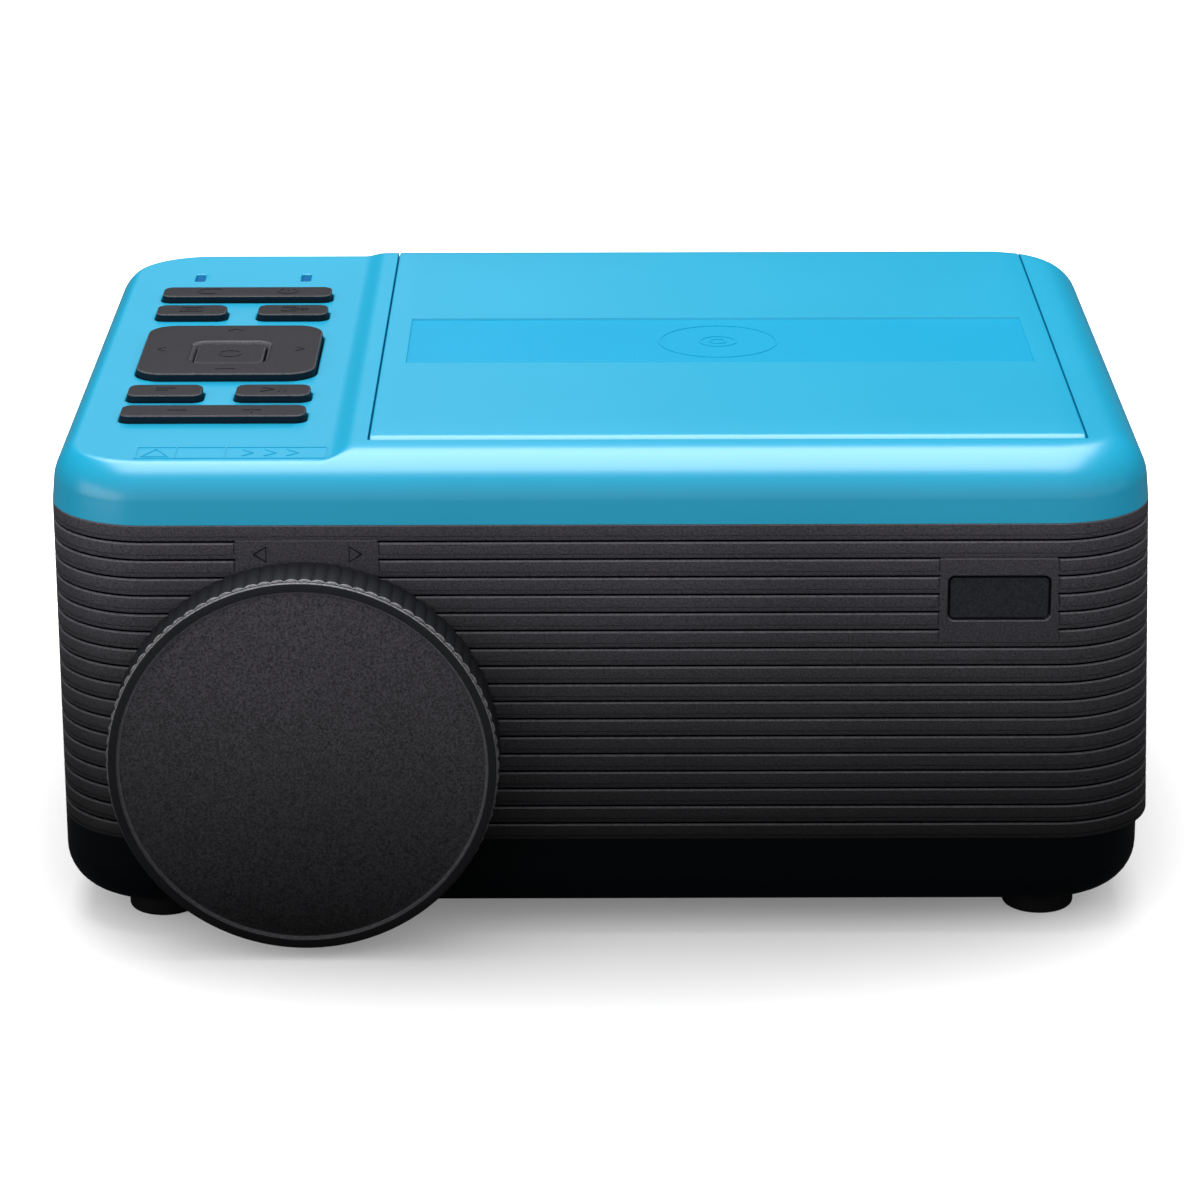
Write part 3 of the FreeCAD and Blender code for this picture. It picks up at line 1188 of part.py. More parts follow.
def check_and_write():
    """Stop on any failed feature or bad solid, then write each sub-part's file."""
    for thing in doc.Objects:
        if "Invalid" in thing.State or "Error" in thing.State:
            raise RuntimeError(f"{thing.Label} failed: {thing.State}")
    os.makedirs("parts", exist_ok=True)
    for node in nodes:
        shape = node.Shape
        if shape.isNull() or not shape.isValid():
            raise RuntimeError(f"{node.Label} has no valid shape")
        shape.exportStep(f"parts/{node.Label}.step")
        print(f"{node.Label}: {len(shape.Solids)} solid(s), {shape.Volume / 1000:.2f} cm3")


top_cover()
ribbed_band()
bottom_tub()
rubber_feet()
case_screws()
tripod_bush()
receiver()
grilles()
disc_lid()
disc_deck()
disc_drive()
keys()
key_electronics()
focus_ring()
lens_cap()
lens_parts()
light_engine()
fan()
boards()
sockets()
loudspeaker()
check_and_write()
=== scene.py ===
import json
import math

import bmesh
import bpy
import numpy as np
from mathutils import Matrix, Vector


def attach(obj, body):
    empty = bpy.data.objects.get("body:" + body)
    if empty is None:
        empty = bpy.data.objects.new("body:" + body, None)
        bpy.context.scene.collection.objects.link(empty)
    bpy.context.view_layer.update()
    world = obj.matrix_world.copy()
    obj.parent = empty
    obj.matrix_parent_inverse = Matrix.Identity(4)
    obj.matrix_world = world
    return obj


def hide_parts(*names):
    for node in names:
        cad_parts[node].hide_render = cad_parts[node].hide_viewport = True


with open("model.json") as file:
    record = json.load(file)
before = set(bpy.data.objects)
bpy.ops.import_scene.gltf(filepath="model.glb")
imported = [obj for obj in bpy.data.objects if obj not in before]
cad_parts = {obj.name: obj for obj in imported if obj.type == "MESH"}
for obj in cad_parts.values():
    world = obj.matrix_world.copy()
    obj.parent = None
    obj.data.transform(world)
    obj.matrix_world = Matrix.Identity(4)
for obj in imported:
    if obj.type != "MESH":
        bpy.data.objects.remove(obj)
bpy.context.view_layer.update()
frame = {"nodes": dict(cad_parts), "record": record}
scene = bpy.context.scene
scene.view_settings.view_transform = "Standard"
millimetre = 0.001

# the case in millimetres: its sides, rounded corners, the seam under the cover, top and key panel
case = {"side": 111.5, "front": -81.25, "rear": 94.75, "cornerR": 20.6, "seam": 88.5,
        "top": 101.8, "panel": 100.0, "bandLow": 21.06, "wall": 2.2}


def fromFront(distance):
    return case["front"] + distance


def planPath(box, radius, sideX, sideY, cornerSteps):
    # rounded rectangle as skeleton points and outward directions: point = skeleton + reach * outward
    left, right, low, high = box
    turn = np.linspace(0, np.pi / 2, cornerSteps + 1)[1:-1] if np.isscalar(cornerSteps) else cornerSteps
    sideX, sideY = np.asarray(sideX, float), np.asarray(sideY, float)
    runs = []
    for centre, start in (((right - radius, low + radius), -np.pi / 2),
                          ((right - radius, high - radius), 0.0),
                          ((left + radius, high - radius), np.pi / 2),
                          ((left + radius, low + radius), np.pi)):
        runs.append((np.tile(centre, (len(turn), 1)),
                     np.stack([np.cos(start + turn), np.sin(start + turn)], 1)))

    def straight(xs, ys, normal):
        points = np.stack(np.broadcast_arrays(xs, ys), 1).astype(float)
        return points, np.tile(normal, (len(points), 1)).astype(float)

    front = straight(sideX, low + radius, (0, -1))
    rightSide = straight(right - radius, sideY, (1, 0))
    rear = straight(sideX[::-1], high - radius, (0, 1))
    leftSide = straight(left + radius, sideY[::-1], (-1, 0))
    order = (front, runs[0], rightSide, runs[1], rear, runs[2], leftSide, runs[3])
    return tuple(np.concatenate(part) for part in zip(*order))


def gridFaces(rows, cols, closeRows=False, closeCols=True):
    # quads between neighbouring rows and columns of a grid of points
    row = np.arange(rows if closeRows else rows - 1)[:, None]
    col = np.arange(cols if closeCols else cols - 1)[None, :]
    nextRow, nextCol = (row + 1) % rows, (col + 1) % cols
    corners = [row * cols + col, row * cols + nextCol, nextRow * cols + nextCol, nextRow * cols + col]
    return np.stack(corners, -1).reshape(-1, 4).tolist()


def tubeFaces(rows, cols):
    # the quads of a tube and a flat face over each of its ends
    return gridFaces(rows, cols) + [list(range(cols))[::-1], list(range((rows - 1) * cols, rows * cols))]


def ringStack(plan, radius, insets, heights):
    # rings of a plan at given insets and heights, closed by flat faces at both ends
    skeleton, outward = plan
    insets, heights = np.asarray(insets, float), np.asarray(heights, float)
    flat = skeleton[None] + (radius - insets)[:, None, None] * outward[None]
    tall = np.broadcast_to(heights[:, None], flat.shape[:2])
    points = np.concatenate([flat, tall[..., None]], -1).reshape(-1, 3)
    return points, tubeFaces(*flat.shape[:2])


def turnedGrid(profile, centre, steps, wave=None):
    # (radius, y) profile turned about the lens axis, radius plus wave(angle, row) where given
    profile = np.asarray(profile, float)
    angle = np.arange(steps) * 2 * np.pi / steps
    radius = np.repeat(profile[:, :1], steps, 1)
    if wave is not None:
        radius = radius + wave(angle[None], np.arange(len(profile))[:, None])
    x = centre[0] + radius * np.sin(angle)
    z = centre[1] + radius * np.cos(angle)
    y = np.repeat(profile[:, 1:], steps, 1)
    return np.stack([x, y, z], -1).reshape(-1, 3), gridFaces(len(profile), steps)


def joined(*parts):
    # several parts, each of points and faces, as one
    points, faces, start = [], [], 0
    for partPoints, partFaces in parts:
        points.append(np.asarray(partPoints, float))
        faces += [[corner + start for corner in face] for face in partFaces]
        start += len(partPoints)
    return np.concatenate(points), faces


def newMesh(name, part, weld=1e-7, recalc=False, slots=None):
    # a mesh object from points in millimetres and faces; slots gives every face its material's number
    points, faces = part
    mesh = bpy.data.meshes.new(name)
    mesh.from_pydata((np.asarray(points) * millimetre).tolist(), [], faces)
    if slots is not None:
        mesh.polygons.foreach_set("material_index", slots.ravel().astype(np.int32))
    work = bmesh.new()
    work.from_mesh(mesh)
    bmesh.ops.remove_doubles(work, verts=work.verts, dist=weld)
    if recalc:
        bmesh.ops.recalc_face_normals(work, faces=work.faces)
    work.to_mesh(mesh)
    work.free()
    item = bpy.data.objects.new(name, mesh)
    scene.collection.objects.link(item)
    return item


def placed(item, body, slot, replaced=(), degrees=32, material=None):
    # smooth up to the given angle; a piece without a finish gets the one given, or else its slot's
    item.data.shade_smooth()
    item.data.set_sharp_from_angle(angle=math.radians(degrees))
    if not item.data.materials:
        item.data.materials.append(material or finishes[slot])
    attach(item, body)
    if replaced:
        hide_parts(*replaced)


def refinish(item, material, chosen):
    # a second finish on the faces whose middle (millimetres) and normal satisfy chosen
    count = len(item.data.polygons)
    middle, normal = np.empty(count * 3), np.empty(count * 3)
    item.data.polygons.foreach_get("center", middle)
    item.data.polygons.foreach_get("normal", normal)
    index = np.empty(count, np.int32)
    item.data.polygons.foreach_get("material_index", index)
    picked = chosen(middle.reshape(-1, 3).T / millimetre, normal.reshape(-1, 3).T)
    index[picked] = len(item.data.materials)
    item.data.materials.append(material)
    item.data.polygons.foreach_set("material_index", index)


def cutBy(item, cutterParts):
    # one exact Boolean with every cutter joined in one mesh; its result becomes the item's own mesh
    cutter = newMesh("cutter", joined(*cutterParts), recalc=True)
    change = item.modifiers.new("cut", "BOOLEAN")
    change.operation, change.solver, change.object = "DIFFERENCE", "EXACT", cutter
    bpy.context.view_layer.update()
    result = item.evaluated_get(bpy.context.evaluated_depsgraph_get())
    mesh = bpy.data.meshes.new_from_object(result)
    item.modifiers.clear()
    item.data = mesh
    bpy.data.objects.remove(cutter)


def boxPlan(left, right, low, high, radius, cornerSteps=6):
    # rounded rectangle without points between its corners
    return planPath((left, right, low, high), radius, [left + radius, right - radius],
                    [low + radius, high - radius], cornerSteps)


def turnedToFront(part):
    # a plan worked out in x and z: (x, y, z) becomes (x, z, y), and the faces are turned to point outwards
    points, faces = part
    return points[:, [0, 2, 1]], [face[::-1] for face in faces]


def turnedToSide(part):
    # a plan in y and z: (x, y, z) becomes (z, x, y)
    points, faces = part
    return points[:, [2, 0, 1]], faces


def linear(red, green, blue):
    # display values from 0 to 255 as linear light
    values = np.array([red, green, blue]) / 255
    return tuple(np.where(values <= 0.04045, values / 12.92, ((values + 0.055) / 1.055) ** 2.4)) + (1.0,)


def feed(tree, target, inputs):
    # a node's sockets by name or number: a value is set on its socket, another node's output is linked
    for socket, value in inputs.items():
        if isinstance(value, bpy.types.NodeSocket):
            tree.links.new(value, target.inputs[socket])
        else:
            target.inputs[socket].default_value = value


def addNode(tree, kind, inputs, operation=None):
    made = tree.nodes.new("ShaderNode" + kind)
    if operation:
        made.operation = operation
    feed(tree, made, inputs)
    return made


def mathNode(tree, operation, first, second=None):
    inputs = {0: first} if second is None else {0: first, 1: second}
    return addNode(tree, "Math", inputs, operation).outputs[0]


def mapRange(tree, value, source, target=(0.0, 1.0), smooth=False, clamp=True):
    # the range source (low, high) of the value carried over to the range target
    made = addNode(tree, "MapRange", {"Value": value, "From Min": source[0], "From Max": source[1],
                                      "To Min": target[0], "To Max": target[1]})
    made.clamp = clamp
    if smooth:
        made.interpolation_type = "SMOOTHSTEP"
    return made.outputs["Result"]


# both noises: the cloud's size is the same on every finish, and each is read between these two values
noise = {"cloudScale": 22.0, "cloudDetail": 3.0, "fineDetail": 2.0, "span": (0.35, 0.65), "leastRough": 0.02}


def finish(name, colour, roughness, grain=0.00002, grainSize=0.0006, drift=0.05, speckle=0.05, metallic=0.0,
           specular=0.5, paintedFootShade=None, transmission=0.0, coat=0.0, ior=1.45, uneven=0.05):
    # moulded surface: fine grain in the bump, slow drift in the colour, uneven roughness; the painted shade
    # gives the lower and upper height in millimetres between which the colour rises from a share to the
    # whole, darker towards the foot
    material = bpy.data.materials.new(name)
    material.use_nodes = True
    tree = material.node_tree
    shader = tree.nodes["Principled BSDF"]
    feed(tree, shader, {"Metallic": metallic, "Specular IOR Level": specular, "IOR": ior,
                        "Coat Weight": coat, "Transmission Weight": transmission})
    place = addNode(tree, "TexCoord", {}).outputs["Object"]
    cloud = addNode(tree, "TexNoise", {"Vector": place, "Scale": noise["cloudScale"],
                                       "Detail": noise["cloudDetail"]}).outputs["Fac"]
    fine = addNode(tree, "TexNoise", {"Vector": place, "Scale": 1.0 / grainSize,
                                      "Detail": noise["fineDetail"]}).outputs["Fac"]
    tones = [mapRange(tree, source, noise["span"], (1.0 - reach, 1.0 + reach), clamp=False)
             for source, reach in ((cloud, drift), (fine, speckle))]
    level = mathNode(tree, "MULTIPLY", *tones)
    # painted shade: the colour darkens towards the foot, from the whole at the upper height to a share at the
    # lower
    if paintedFootShade:
        low, high, share = paintedFootShade
        height = addNode(tree, "SeparateXYZ", {"Vector": place}).outputs["Z"]
        fall = mapRange(tree, height, (low * millimetre, high * millimetre), (share, 1.0))
        level = mathNode(tree, "MULTIPLY", level, fall)
    tint = addNode(tree, "VectorMath", {0: colour[:3], "Scale": level}, "SCALE").outputs["Vector"]
    rough = (max(roughness - uneven, noise["leastRough"]), min(roughness + uneven, 1.0))
    feed(tree, shader, {"Base Color": tint, "Roughness": mapRange(tree, fine, (0.0, 1.0), rough)})
    if grain:
        bump = addNode(tree, "Bump", {"Strength": 1.0, "Distance": grain, "Height": fine})
        feed(tree, shader, {"Normal": bump.outputs["Normal"]})
    return material


# shell grey and ring dark carry a painted shade that darkens them towards the foot
finishes = {
    "cover_blue": finish("coverBlue", (0.003, 0.385, 0.62, 1.0), 0.29, grain=0, drift=0.015,
                         speckle=0.004, specular=1.0, ior=1.52, uneven=0.008),
    "shell_grey": finish("shellGrey", linear(65, 63, 69), 0.5, grain=0.00003, grainSize=0.0004,
                         drift=0.08, speckle=0.35, specular=0.4, paintedFootShade=(15, 88, 0.03)),
    "tub_black": finish("tubBlack", linear(3, 6, 9), 0.5, grain=0.00001, drift=0.1, speckle=0.1,
                        specular=0.1),
    "foot_rubber": finish("footRubber", linear(14, 14, 15), 0.8, grain=0.00004, speckle=0.15,
                          specular=0.2),
    "steel": finish("brushedSteel", linear(190, 192, 196), 0.3, grain=0.000008, metallic=1.0),
    "brass": finish("turnedBrass", linear(201, 160, 92), 0.3, grain=0.000008, metallic=1.0),
    "window_dark": finish("windowDark", linear(40, 41, 45), 0.42, grainSize=0.00045, speckle=0.25,
                          specular=0.2),
    "deck_grey": finish("deckGrey", linear(38, 40, 44), 0.45, speckle=0.15),
    "key_grey": finish("keyGrey", linear(43, 42, 47), 0.55, grain=0.00004, grainSize=0.0004,
                       drift=0.04, speckle=0.45, specular=0.2),
    "ring_dark": finish("ringDark", linear(72, 70, 75), 0.5, grain=0.00004, grainSize=0.0004,
                        speckle=0.4, specular=0.15, paintedFootShade=(-2, 81, 0.0)),
    "tube_black": finish("tubeBlack", linear(20, 20, 22), 0.4, speckle=0.1),
    "glass": finish("lensGlass", linear(235, 240, 242), 0.04, grain=0, drift=0.01, speckle=0,
                    transmission=1.0, ior=1.52),
    "light_guide": finish("lightGuide", linear(0, 92, 150), 0.5, grain=0, drift=0.04, specular=0.1),
    "panel_glass": finish("panelGlass", linear(40, 46, 58), 0.08, grain=0, drift=0.03, coat=0.5),
    "aluminium": finish("castAluminium", linear(176, 178, 182), 0.42, metallic=1.0),
    "board_green": finish("boardGreen", linear(22, 92, 52), 0.35, drift=0.1, grainSize=0.0012),
    "parts_black": finish("partsBlack", linear(24, 25, 27), 0.5, drift=0.1),
    "socket_metal": finish("socketMetal", linear(168, 170, 174), 0.32, grain=0.000008, metallic=0.6),
}
# painted highlight on the keys' rounded upper edges
keyEdge = finish("keyEdge", linear(78, 78, 82), 0.5, grain=0.00001, grainSize=0.0004, speckle=0.3,
                 specular=0.3)
# painted shade on the keys' upright sides, tinted blue as if lit from the cover round them
keySide = finish("keySide", linear(4, 30, 42), 0.6, grain=0.00001, specular=0.15)
# painted shade on the cap's rim and the focus ring's flank
paintedRimShade = finish("paintedRimShade", linear(38, 39, 43), 0.5, grain=0.00001, speckle=0.1, specular=0.2,
                paintedFootShade=(0, 78, 0.14))
# painted highlight on the front edges of the ring's ridges and of the cap, fading towards the foot
paintedEdgeHighlight = finish("paintedEdgeHighlight", linear(128, 127, 131), 0.5, grain=0, speckle=0.3, specular=0.4,
                  paintedFootShade=(20, 80, 0.02))
# painted highlight on faces that turn upwards: the rib lips and the wall round the cap's face
paintedLipHighlight = finish("paintedLipHighlight", linear(100, 98, 104), 0.5, grain=0.00001, speckle=0.2, specular=0.3,
                 paintedFootShade=(18, 85, 0.3))
# painted shade inside the grooves and along the back of the focus ring
paintedGrooveShade = finish("paintedGrooveShade", linear(8, 8, 9), 0.7, grain=0.00001, speckle=0.1, specular=0.05)

# the solids' own finishes, key grey where none is given
nodesOfFinish = {
    "cover_blue": "top_cover disc_lid", "shell_grey": "ribbed_band",
    "tub_black": "bottom_tub left_grille right_grille socket_plate",
    "foot_rubber": "rubber_feet drive_dampers key_mat",
    "steel": "case_screws drive_chassis spindle_motor guide_rods sled_motor hinge_pins",
    "brass": "tripod_bush lead_screw", "window_dark": "receiver_window",
    "parts_black": "receiver_sensor catch_plunger turntable pickup_sled nav_gimbal fan_frame fan_rotor "
                   "board_parts sound_jacks power_inlet loudspeaker",
    "deck_grey": "disc_deck catch_sleeve lid_liner",
    "glass": "pickup_lens condenser_plates condenser_lens front_lens rear_lens",
    "board_green": "key_board main_board power_board", "light_guide": "indicator_lights",
    "tube_black": "lens_guide_tube engine_housing lens_barrel", "panel_glass": "screen_panel",
    "aluminium": "lamp_plate heat_sink", "socket_metal": "picture_socket data_socket"}
nodeFinish = {node: name for name, nodes in nodesOfFinish.items() for node in nodes.split()}
for node, item in frame["nodes"].items():
    item.data.materials.clear()
    item.data.materials.append(finishes[nodeFinish.get(node, "key_grey")])
print("finishes ready")


# the top cover in millimetres: arc of its upper edge, step down to the key panel, lid opening, hinge
cover = {"lean": math.tan(math.radians(5.5)), "edgeR": 9.5, "arcInset": 9.91, "arcZ": 92.3,
         "sideInset": 0.366, "stepTopX": -49.3, "stepFront": -3.3, "stepCornerR": 14.5,
         "stepRun": 5.6, "crease": 0.5, "frontCrown": 4.6, "ceiling": 97.8, "innerR": 7.0,
         "lidLeft": -46.7, "lidRight": 98.1, "lidFront": 15.3, "lidGap": 0.35, "lidFrontGap": 0.18,
         "lidCornerR": 0.5, "skirtLow": 91.2, "frameLow": 94.8, "frameBack": 9.2, "rim": 1.6, "ear": 3.0,
         "windowBevel": 0.3, "shaftDepth": 2, "hingeFront": 18.5, "hingeZ": 98.6, "hingeR": 3.2,
         "column": 1.6, "stepColumns": ((-76, 0.7), (-45, 6.0)), "row": 4.0, "flatRing": (10.4, 0.7)}


def outerHeight(inset, forward=0.0):
    # the cover's outside: arc of the upper edge from the leaning side to the flat top, a quarter circle
    # that turns into a longer quarter ellipse towards the front
    longer = cover["frontCrown"] * forward ** 2
    reach = np.clip((cover["arcInset"] + longer - inset) / (cover["edgeR"] + longer), 0, 1)
    return cover["arcZ"] + cover["edgeR"] * np.sqrt(1 - reach ** 2)


def panelHeight(x, y):
    # key panel sunk by a smooth step: smoothstep of the distance inside the step's rounded outline
    radius = cover["stepCornerR"]
    toRight, toFront = cover["stepTopX"] - x, y - fromFront(cover["stepFront"])
    cornerX, cornerY = radius - toRight, radius - toFront
    inCorner = (cornerX > 0) & (cornerY > 0)
    inside = np.where(inCorner, radius - np.hypot(cornerX, cornerY), np.minimum(toRight, toFront))
    share = np.clip(inside / cover["stepRun"], 0, 1)
    return case["top"] - (case["top"] - case["panel"]) * share ** 2 * (3 - 2 * share)


def softLower(first, second, width):
    # smooth minimum of two heights, rounded over the given width
    share = np.clip(0.5 + 0.5 * (second - first) / width, 0, 1)
    return second * (1 - share) + first * share - width * share * (1 - share)


def coverHeight(x, y, inset, forward=0.0):
    return softLower(outerHeight(inset, forward), panelHeight(x, y), cover["crease"])


def spaced(*stops):
    # positions from one stop to the next: (start, step), ..., (end,)
    runs = [np.linspace(here[0], there[0], max(int(round((there[0] - here[0]) / here[1])), 1) + 1)[:-1]
            for here, there in zip(stops, stops[1:])]
    return np.concatenate(runs + [[stops[-1][0]]])


caseBox = (-case["side"], case["side"], case["front"], case["rear"])
straightX = case["side"] - case["cornerR"]
straightLow, straightHigh = case["front"] + case["cornerR"], case["rear"] - case["cornerR"]
# columns stand close together where the panel's step runs down
coverX = spaced((-straightX, cover["column"]), *cover["stepColumns"], (straightX,))
coverY = spaced((straightLow, cover["row"]), (straightHigh,))
skeleton, outward = planPath(caseBox, case["cornerR"], coverX, coverY, 26)

arc = np.radians(np.linspace(0, 90, 34))
arcInsets = cover["arcInset"] - cover["edgeR"] * np.cos(arc[1:])
insets = np.concatenate([[cover["sideInset"]], arcInsets, spaced(cover["flatRing"], (case["cornerR"],))])
innerArc = np.radians(np.linspace(0, 90, 7))
innerInsets = case["wall"] + cover["innerR"] * (1 - np.cos(innerArc))
innerHeights = cover["ceiling"] - cover["innerR"] * (1 - np.sin(innerArc))
ringInsets = np.concatenate([innerInsets[::-1], [case["wall"], 0.0], insets])
flat = skeleton[None] + (case["cornerR"] - ringInsets)[:, None, None] * outward[None]
rise = np.empty(flat.shape[:2])
innerCount = len(innerInsets)
rise[:innerCount] = innerHeights[::-1, None]
rise[innerCount:innerCount + 2] = case["seam"]
forward = np.maximum(-outward[None, :, 1], 0)
outside = flat[innerCount + 2:]
rise[innerCount + 2:] = coverHeight(outside[..., 0], outside[..., 1], insets[:, None], forward)
ringPoints = np.concatenate([flat, rise[..., None]], -1)
rows, cols = ringPoints.shape[:2]
ringFaces = gridFaces(rows, cols)
ringFaces.append(list(range(cols))[::-1])  # the ceiling
gridX, gridY = np.meshgrid(coverX, coverY)
gridZ = coverHeight(gridX, gridY, case["cornerR"])
topGrid = (np.stack([gridX, gridY, gridZ], -1).reshape(-1, 3),
           gridFaces(len(coverY), len(coverX), closeCols=False))
coverShell = newMesh("coverShell", joined((ringPoints.reshape(-1, 3), ringFaces), topGrid), weld=2e-6)

# openings: the lid, seven key windows with softened edges and two indicator slots. A key's plan is its
# left and right side, its middle's distance from the front, its depth and its corner radius
pad = {"x": -79.9, "half": 19.1, "gap": 0.35, "keyR": 2.2, "navR": 6.0, "keyWidth": 15.6,
       "keyDepth": 8.4, "barDepth": 8.2, "rise": 1.6, "keyLow": 96.3}
indicator = {"aside": 12.2, "half": 1.15, "front": 147.8, "rear": 154.2, "cornerR": 0.4, "bevel": 0.15}
padLeft, padRight = pad["x"] - pad["half"], pad["x"] + pad["half"]
keyPlans = {
    "front_bar_key": (padLeft, padRight, 37.2, pad["barDepth"], pad["keyR"]),
    "front_left_key": (padLeft, padLeft + pad["keyWidth"], 52.4, pad["keyDepth"], pad["keyR"]),
    "front_right_key": (padRight - pad["keyWidth"], padRight, 52.4, pad["keyDepth"], pad["keyR"]),
    "nav_pad": (padLeft, padRight, 84.1, 39.2, pad["navR"]),
    "rear_left_key": (padLeft, padLeft + pad["keyWidth"], 117.2, pad["keyDepth"], pad["keyR"]),
    "rear_right_key": (padRight - pad["keyWidth"], padRight, 117.2, pad["keyDepth"], pad["keyR"]),
    "rear_bar_key": (padLeft, padRight, 133.0, pad["barDepth"], pad["keyR"])}


def flaredCutter(left, right, low, high, radius, bottom, surface, bevel):
    # a straight shaft that widens just under the surface, so the edge it leaves is softened
    plan = boxPlan(left, right, low, high, radius, 8)
    widen = -bevel * np.array([0, 0, 0.15, 0.5, 1.0, 1.0])
    heights = surface + bevel * np.array([0, -1.0, -0.5, -0.15, 0.02, 12.0])
    heights[0] = bottom
    return ringStack(plan, radius, widen, heights)


openLeft, openRight = cover["lidLeft"] - cover["lidGap"], cover["lidRight"] + cover["lidGap"]
openLow = fromFront(cover["lidFront"] - cover["lidFrontGap"])
shaftLow = cover["ceiling"] - cover["shaftDepth"]
coverCutters = [flaredCutter(openLeft, openRight, openLow, case["rear"] + 20, cover["lidCornerR"],
                             cover["skirtLow"] - cover["lidGap"], case["top"], cover["windowBevel"])]
for left, right, middle, depth, radius in keyPlans.values():
    near, far = middle - depth / 2 - pad["gap"], middle + depth / 2 + pad["gap"]
    coverCutters.append(flaredCutter(left - pad["gap"], right + pad["gap"], fromFront(near), fromFront(far),
                                     radius + pad["gap"], shaftLow, case["panel"], cover["windowBevel"]))
for side in (-1, 1):
    middle = pad["x"] + side * indicator["aside"]
    coverCutters.append(flaredCutter(middle - indicator["half"], middle + indicator["half"],
                                     fromFront(indicator["front"]), fromFront(indicator["rear"]),
                                     indicator["cornerR"], shaftLow, case["panel"], indicator["bevel"]))
cutBy(coverShell, coverCutters)
placed(coverShell, "case", "cover_blue", ["top_cover"], 28)

# rim round the lid opening with the two hinge ears
hingeY, hingeZ, hingeR = fromFront(cover["hingeFront"]), cover["hingeZ"], cover["hingeR"]
openBack, rim, ear = case["rear"] - cover["frameBack"], cover["rim"], cover["ear"]
# half of the outline from the front corner round the ear to the rear, the other half mirrored back
outwards = np.array([rim, rim, ear + rim, ear + rim, rim, rim, 0, 0])
along = np.array([openLow - rim, hingeY - hingeR, hingeY - hingeR, hingeY + hingeR, hingeY + hingeR,
                  openBack, openBack, openLow])
rimOutline = np.roll(np.concatenate([np.c_[openRight + outwards, along],
                                     np.c_[openLeft - outwards, along][::-1]]), 1, axis=0)
count = len(rimOutline)
rimPoints = np.concatenate([np.c_[rimOutline, np.full(count, cover["frameLow"])],
                            np.c_[rimOutline, np.full(count, cover["ceiling"] + 0.1)]])
coverRim = newMesh("coverRim", (rimPoints, tubeFaces(2, count)))
placed(coverRim, "case", "cover_blue", ["top_cover"])
print("top cover ready")


# the lid: its plate, the rim under it and the sunk label, in millimetres
lid = {"thick": 2.2, "rimDepth": 6.2, "rimWidth": 1.6, "labelX": (-41.5, 92.9), "labelY": (72.0, 108.0),
       "labelDrop": 0.4, "soft": 0.35, "barrel": (-60, -270), "barrelWall": 2.0,
       "rows": (30, 50, 71.9, 72.1, 107.9, 108.1, 130, 150.0), "skirtDrop": 1.1, "skirtLean": 0.09}
discRings = {"x": 25.7, "y": 90.0, "radii": (13.0, 4.2, 2.0), "width": 0.5, "low": 101.3, "top": 101.52}


def lidSurface():
    # profile from the hinge barrel over the flat top and the rear edge arc to the skirt; across, a loop
    # that goes over the top, down the right rim, back under the lid and up the left rim
    barrel = np.radians(np.linspace(*lid["barrel"], 22))
    flatY = fromFront(np.array(lid["rows"]))
    over = np.radians(np.linspace(90, 0, 20))
    left, right, half = cover["lidLeft"], cover["lidRight"], lid["rimWidth"]
    quarter = np.radians(np.linspace(0, 90, 5))
    edge = lid["soft"] * (1 - np.cos(quarter))
    sink = lid["soft"] * (1 - np.sin(quarter))
    labelLeft, labelRight = lid["labelX"]
    inner = np.concatenate([[labelLeft - 0.1, labelLeft + 0.1], np.linspace(-35, 85, 13),
                            [labelRight - 0.1, labelRight + 0.1]])
    acrossX = np.concatenate([left + edge, inner, (right - edge)[::-1], [right, right - half, right - half],
                              [left + half, left + half, left]])
    acrossDrop = np.concatenate([sink, inner * 0, sink[::-1], [-1, -1, -2], [-2, -1, -1]])
    # -1 stands for the rim's lower edge and -2 for the underside of the plate
    onTop = (acrossX > labelLeft) & (acrossX < labelRight) & (acrossDrop == 0)
    rear, radius, beyond = case["rear"], case["cornerR"], np.maximum(acrossX - straightX, 0)
    rows = []

    def rearLine(inset):
        return rear - radius + np.sqrt(np.maximum((radius - inset) ** 2 - beyond ** 2, 0))

    def addRow(y, z, ny, nz, rimDepth=lid["rimDepth"], labelled=False):
        underside = np.where(acrossDrop == -2, min(lid["thick"], rimDepth), acrossDrop)
        drop = np.where(acrossDrop == -1, rimDepth, underside)
        drop = drop + np.where(labelled & onTop, lid["labelDrop"], 0)
        rows.append(np.stack([acrossX, y - ny * drop, z - nz * drop], -1))

    for turn in barrel:
        ny, nz = np.cos(turn), np.sin(turn)
        addRow(hingeY + hingeR * ny, hingeZ + hingeR * nz, ny, nz, lid["barrelWall"])
    for y in flatY:
        addRow(y, case["top"], 0.0, 1.0, labelled=lid["labelY"][0] < y - case["front"] < lid["labelY"][1])
    for turn in over:
        ny, nz = np.cos(turn), np.sin(turn)
        addRow(rearLine(cover["arcInset"] - cover["edgeR"] * ny), cover["arcZ"] + cover["edgeR"] * nz, ny, nz)
    addRow(rearLine(cover["sideInset"] - lid["skirtDrop"] * cover["lean"]), cover["skirtLow"],
           1.0, lid["skirtLean"])
    grid = np.array(rows)
    return grid.reshape(-1, 3), tubeFaces(*grid.shape[:2])


lidShell = newMesh("lidShell", lidSurface())
placed(lidShell, "lid", "cover_blue", ["disc_lid"], 30)
labelFinish = finish("labelBlue", linear(5, 156, 198), 0.35, grain=0.000004, drift=0.015, specular=0.25)
refinish(lidShell, labelFinish, lambda middle, normal: (
    (np.abs(middle[2] - case["top"] + lid["labelDrop"]) < 0.05)
    & (middle[0] > lid["labelX"][0]) & (middle[0] < lid["labelX"][1])))


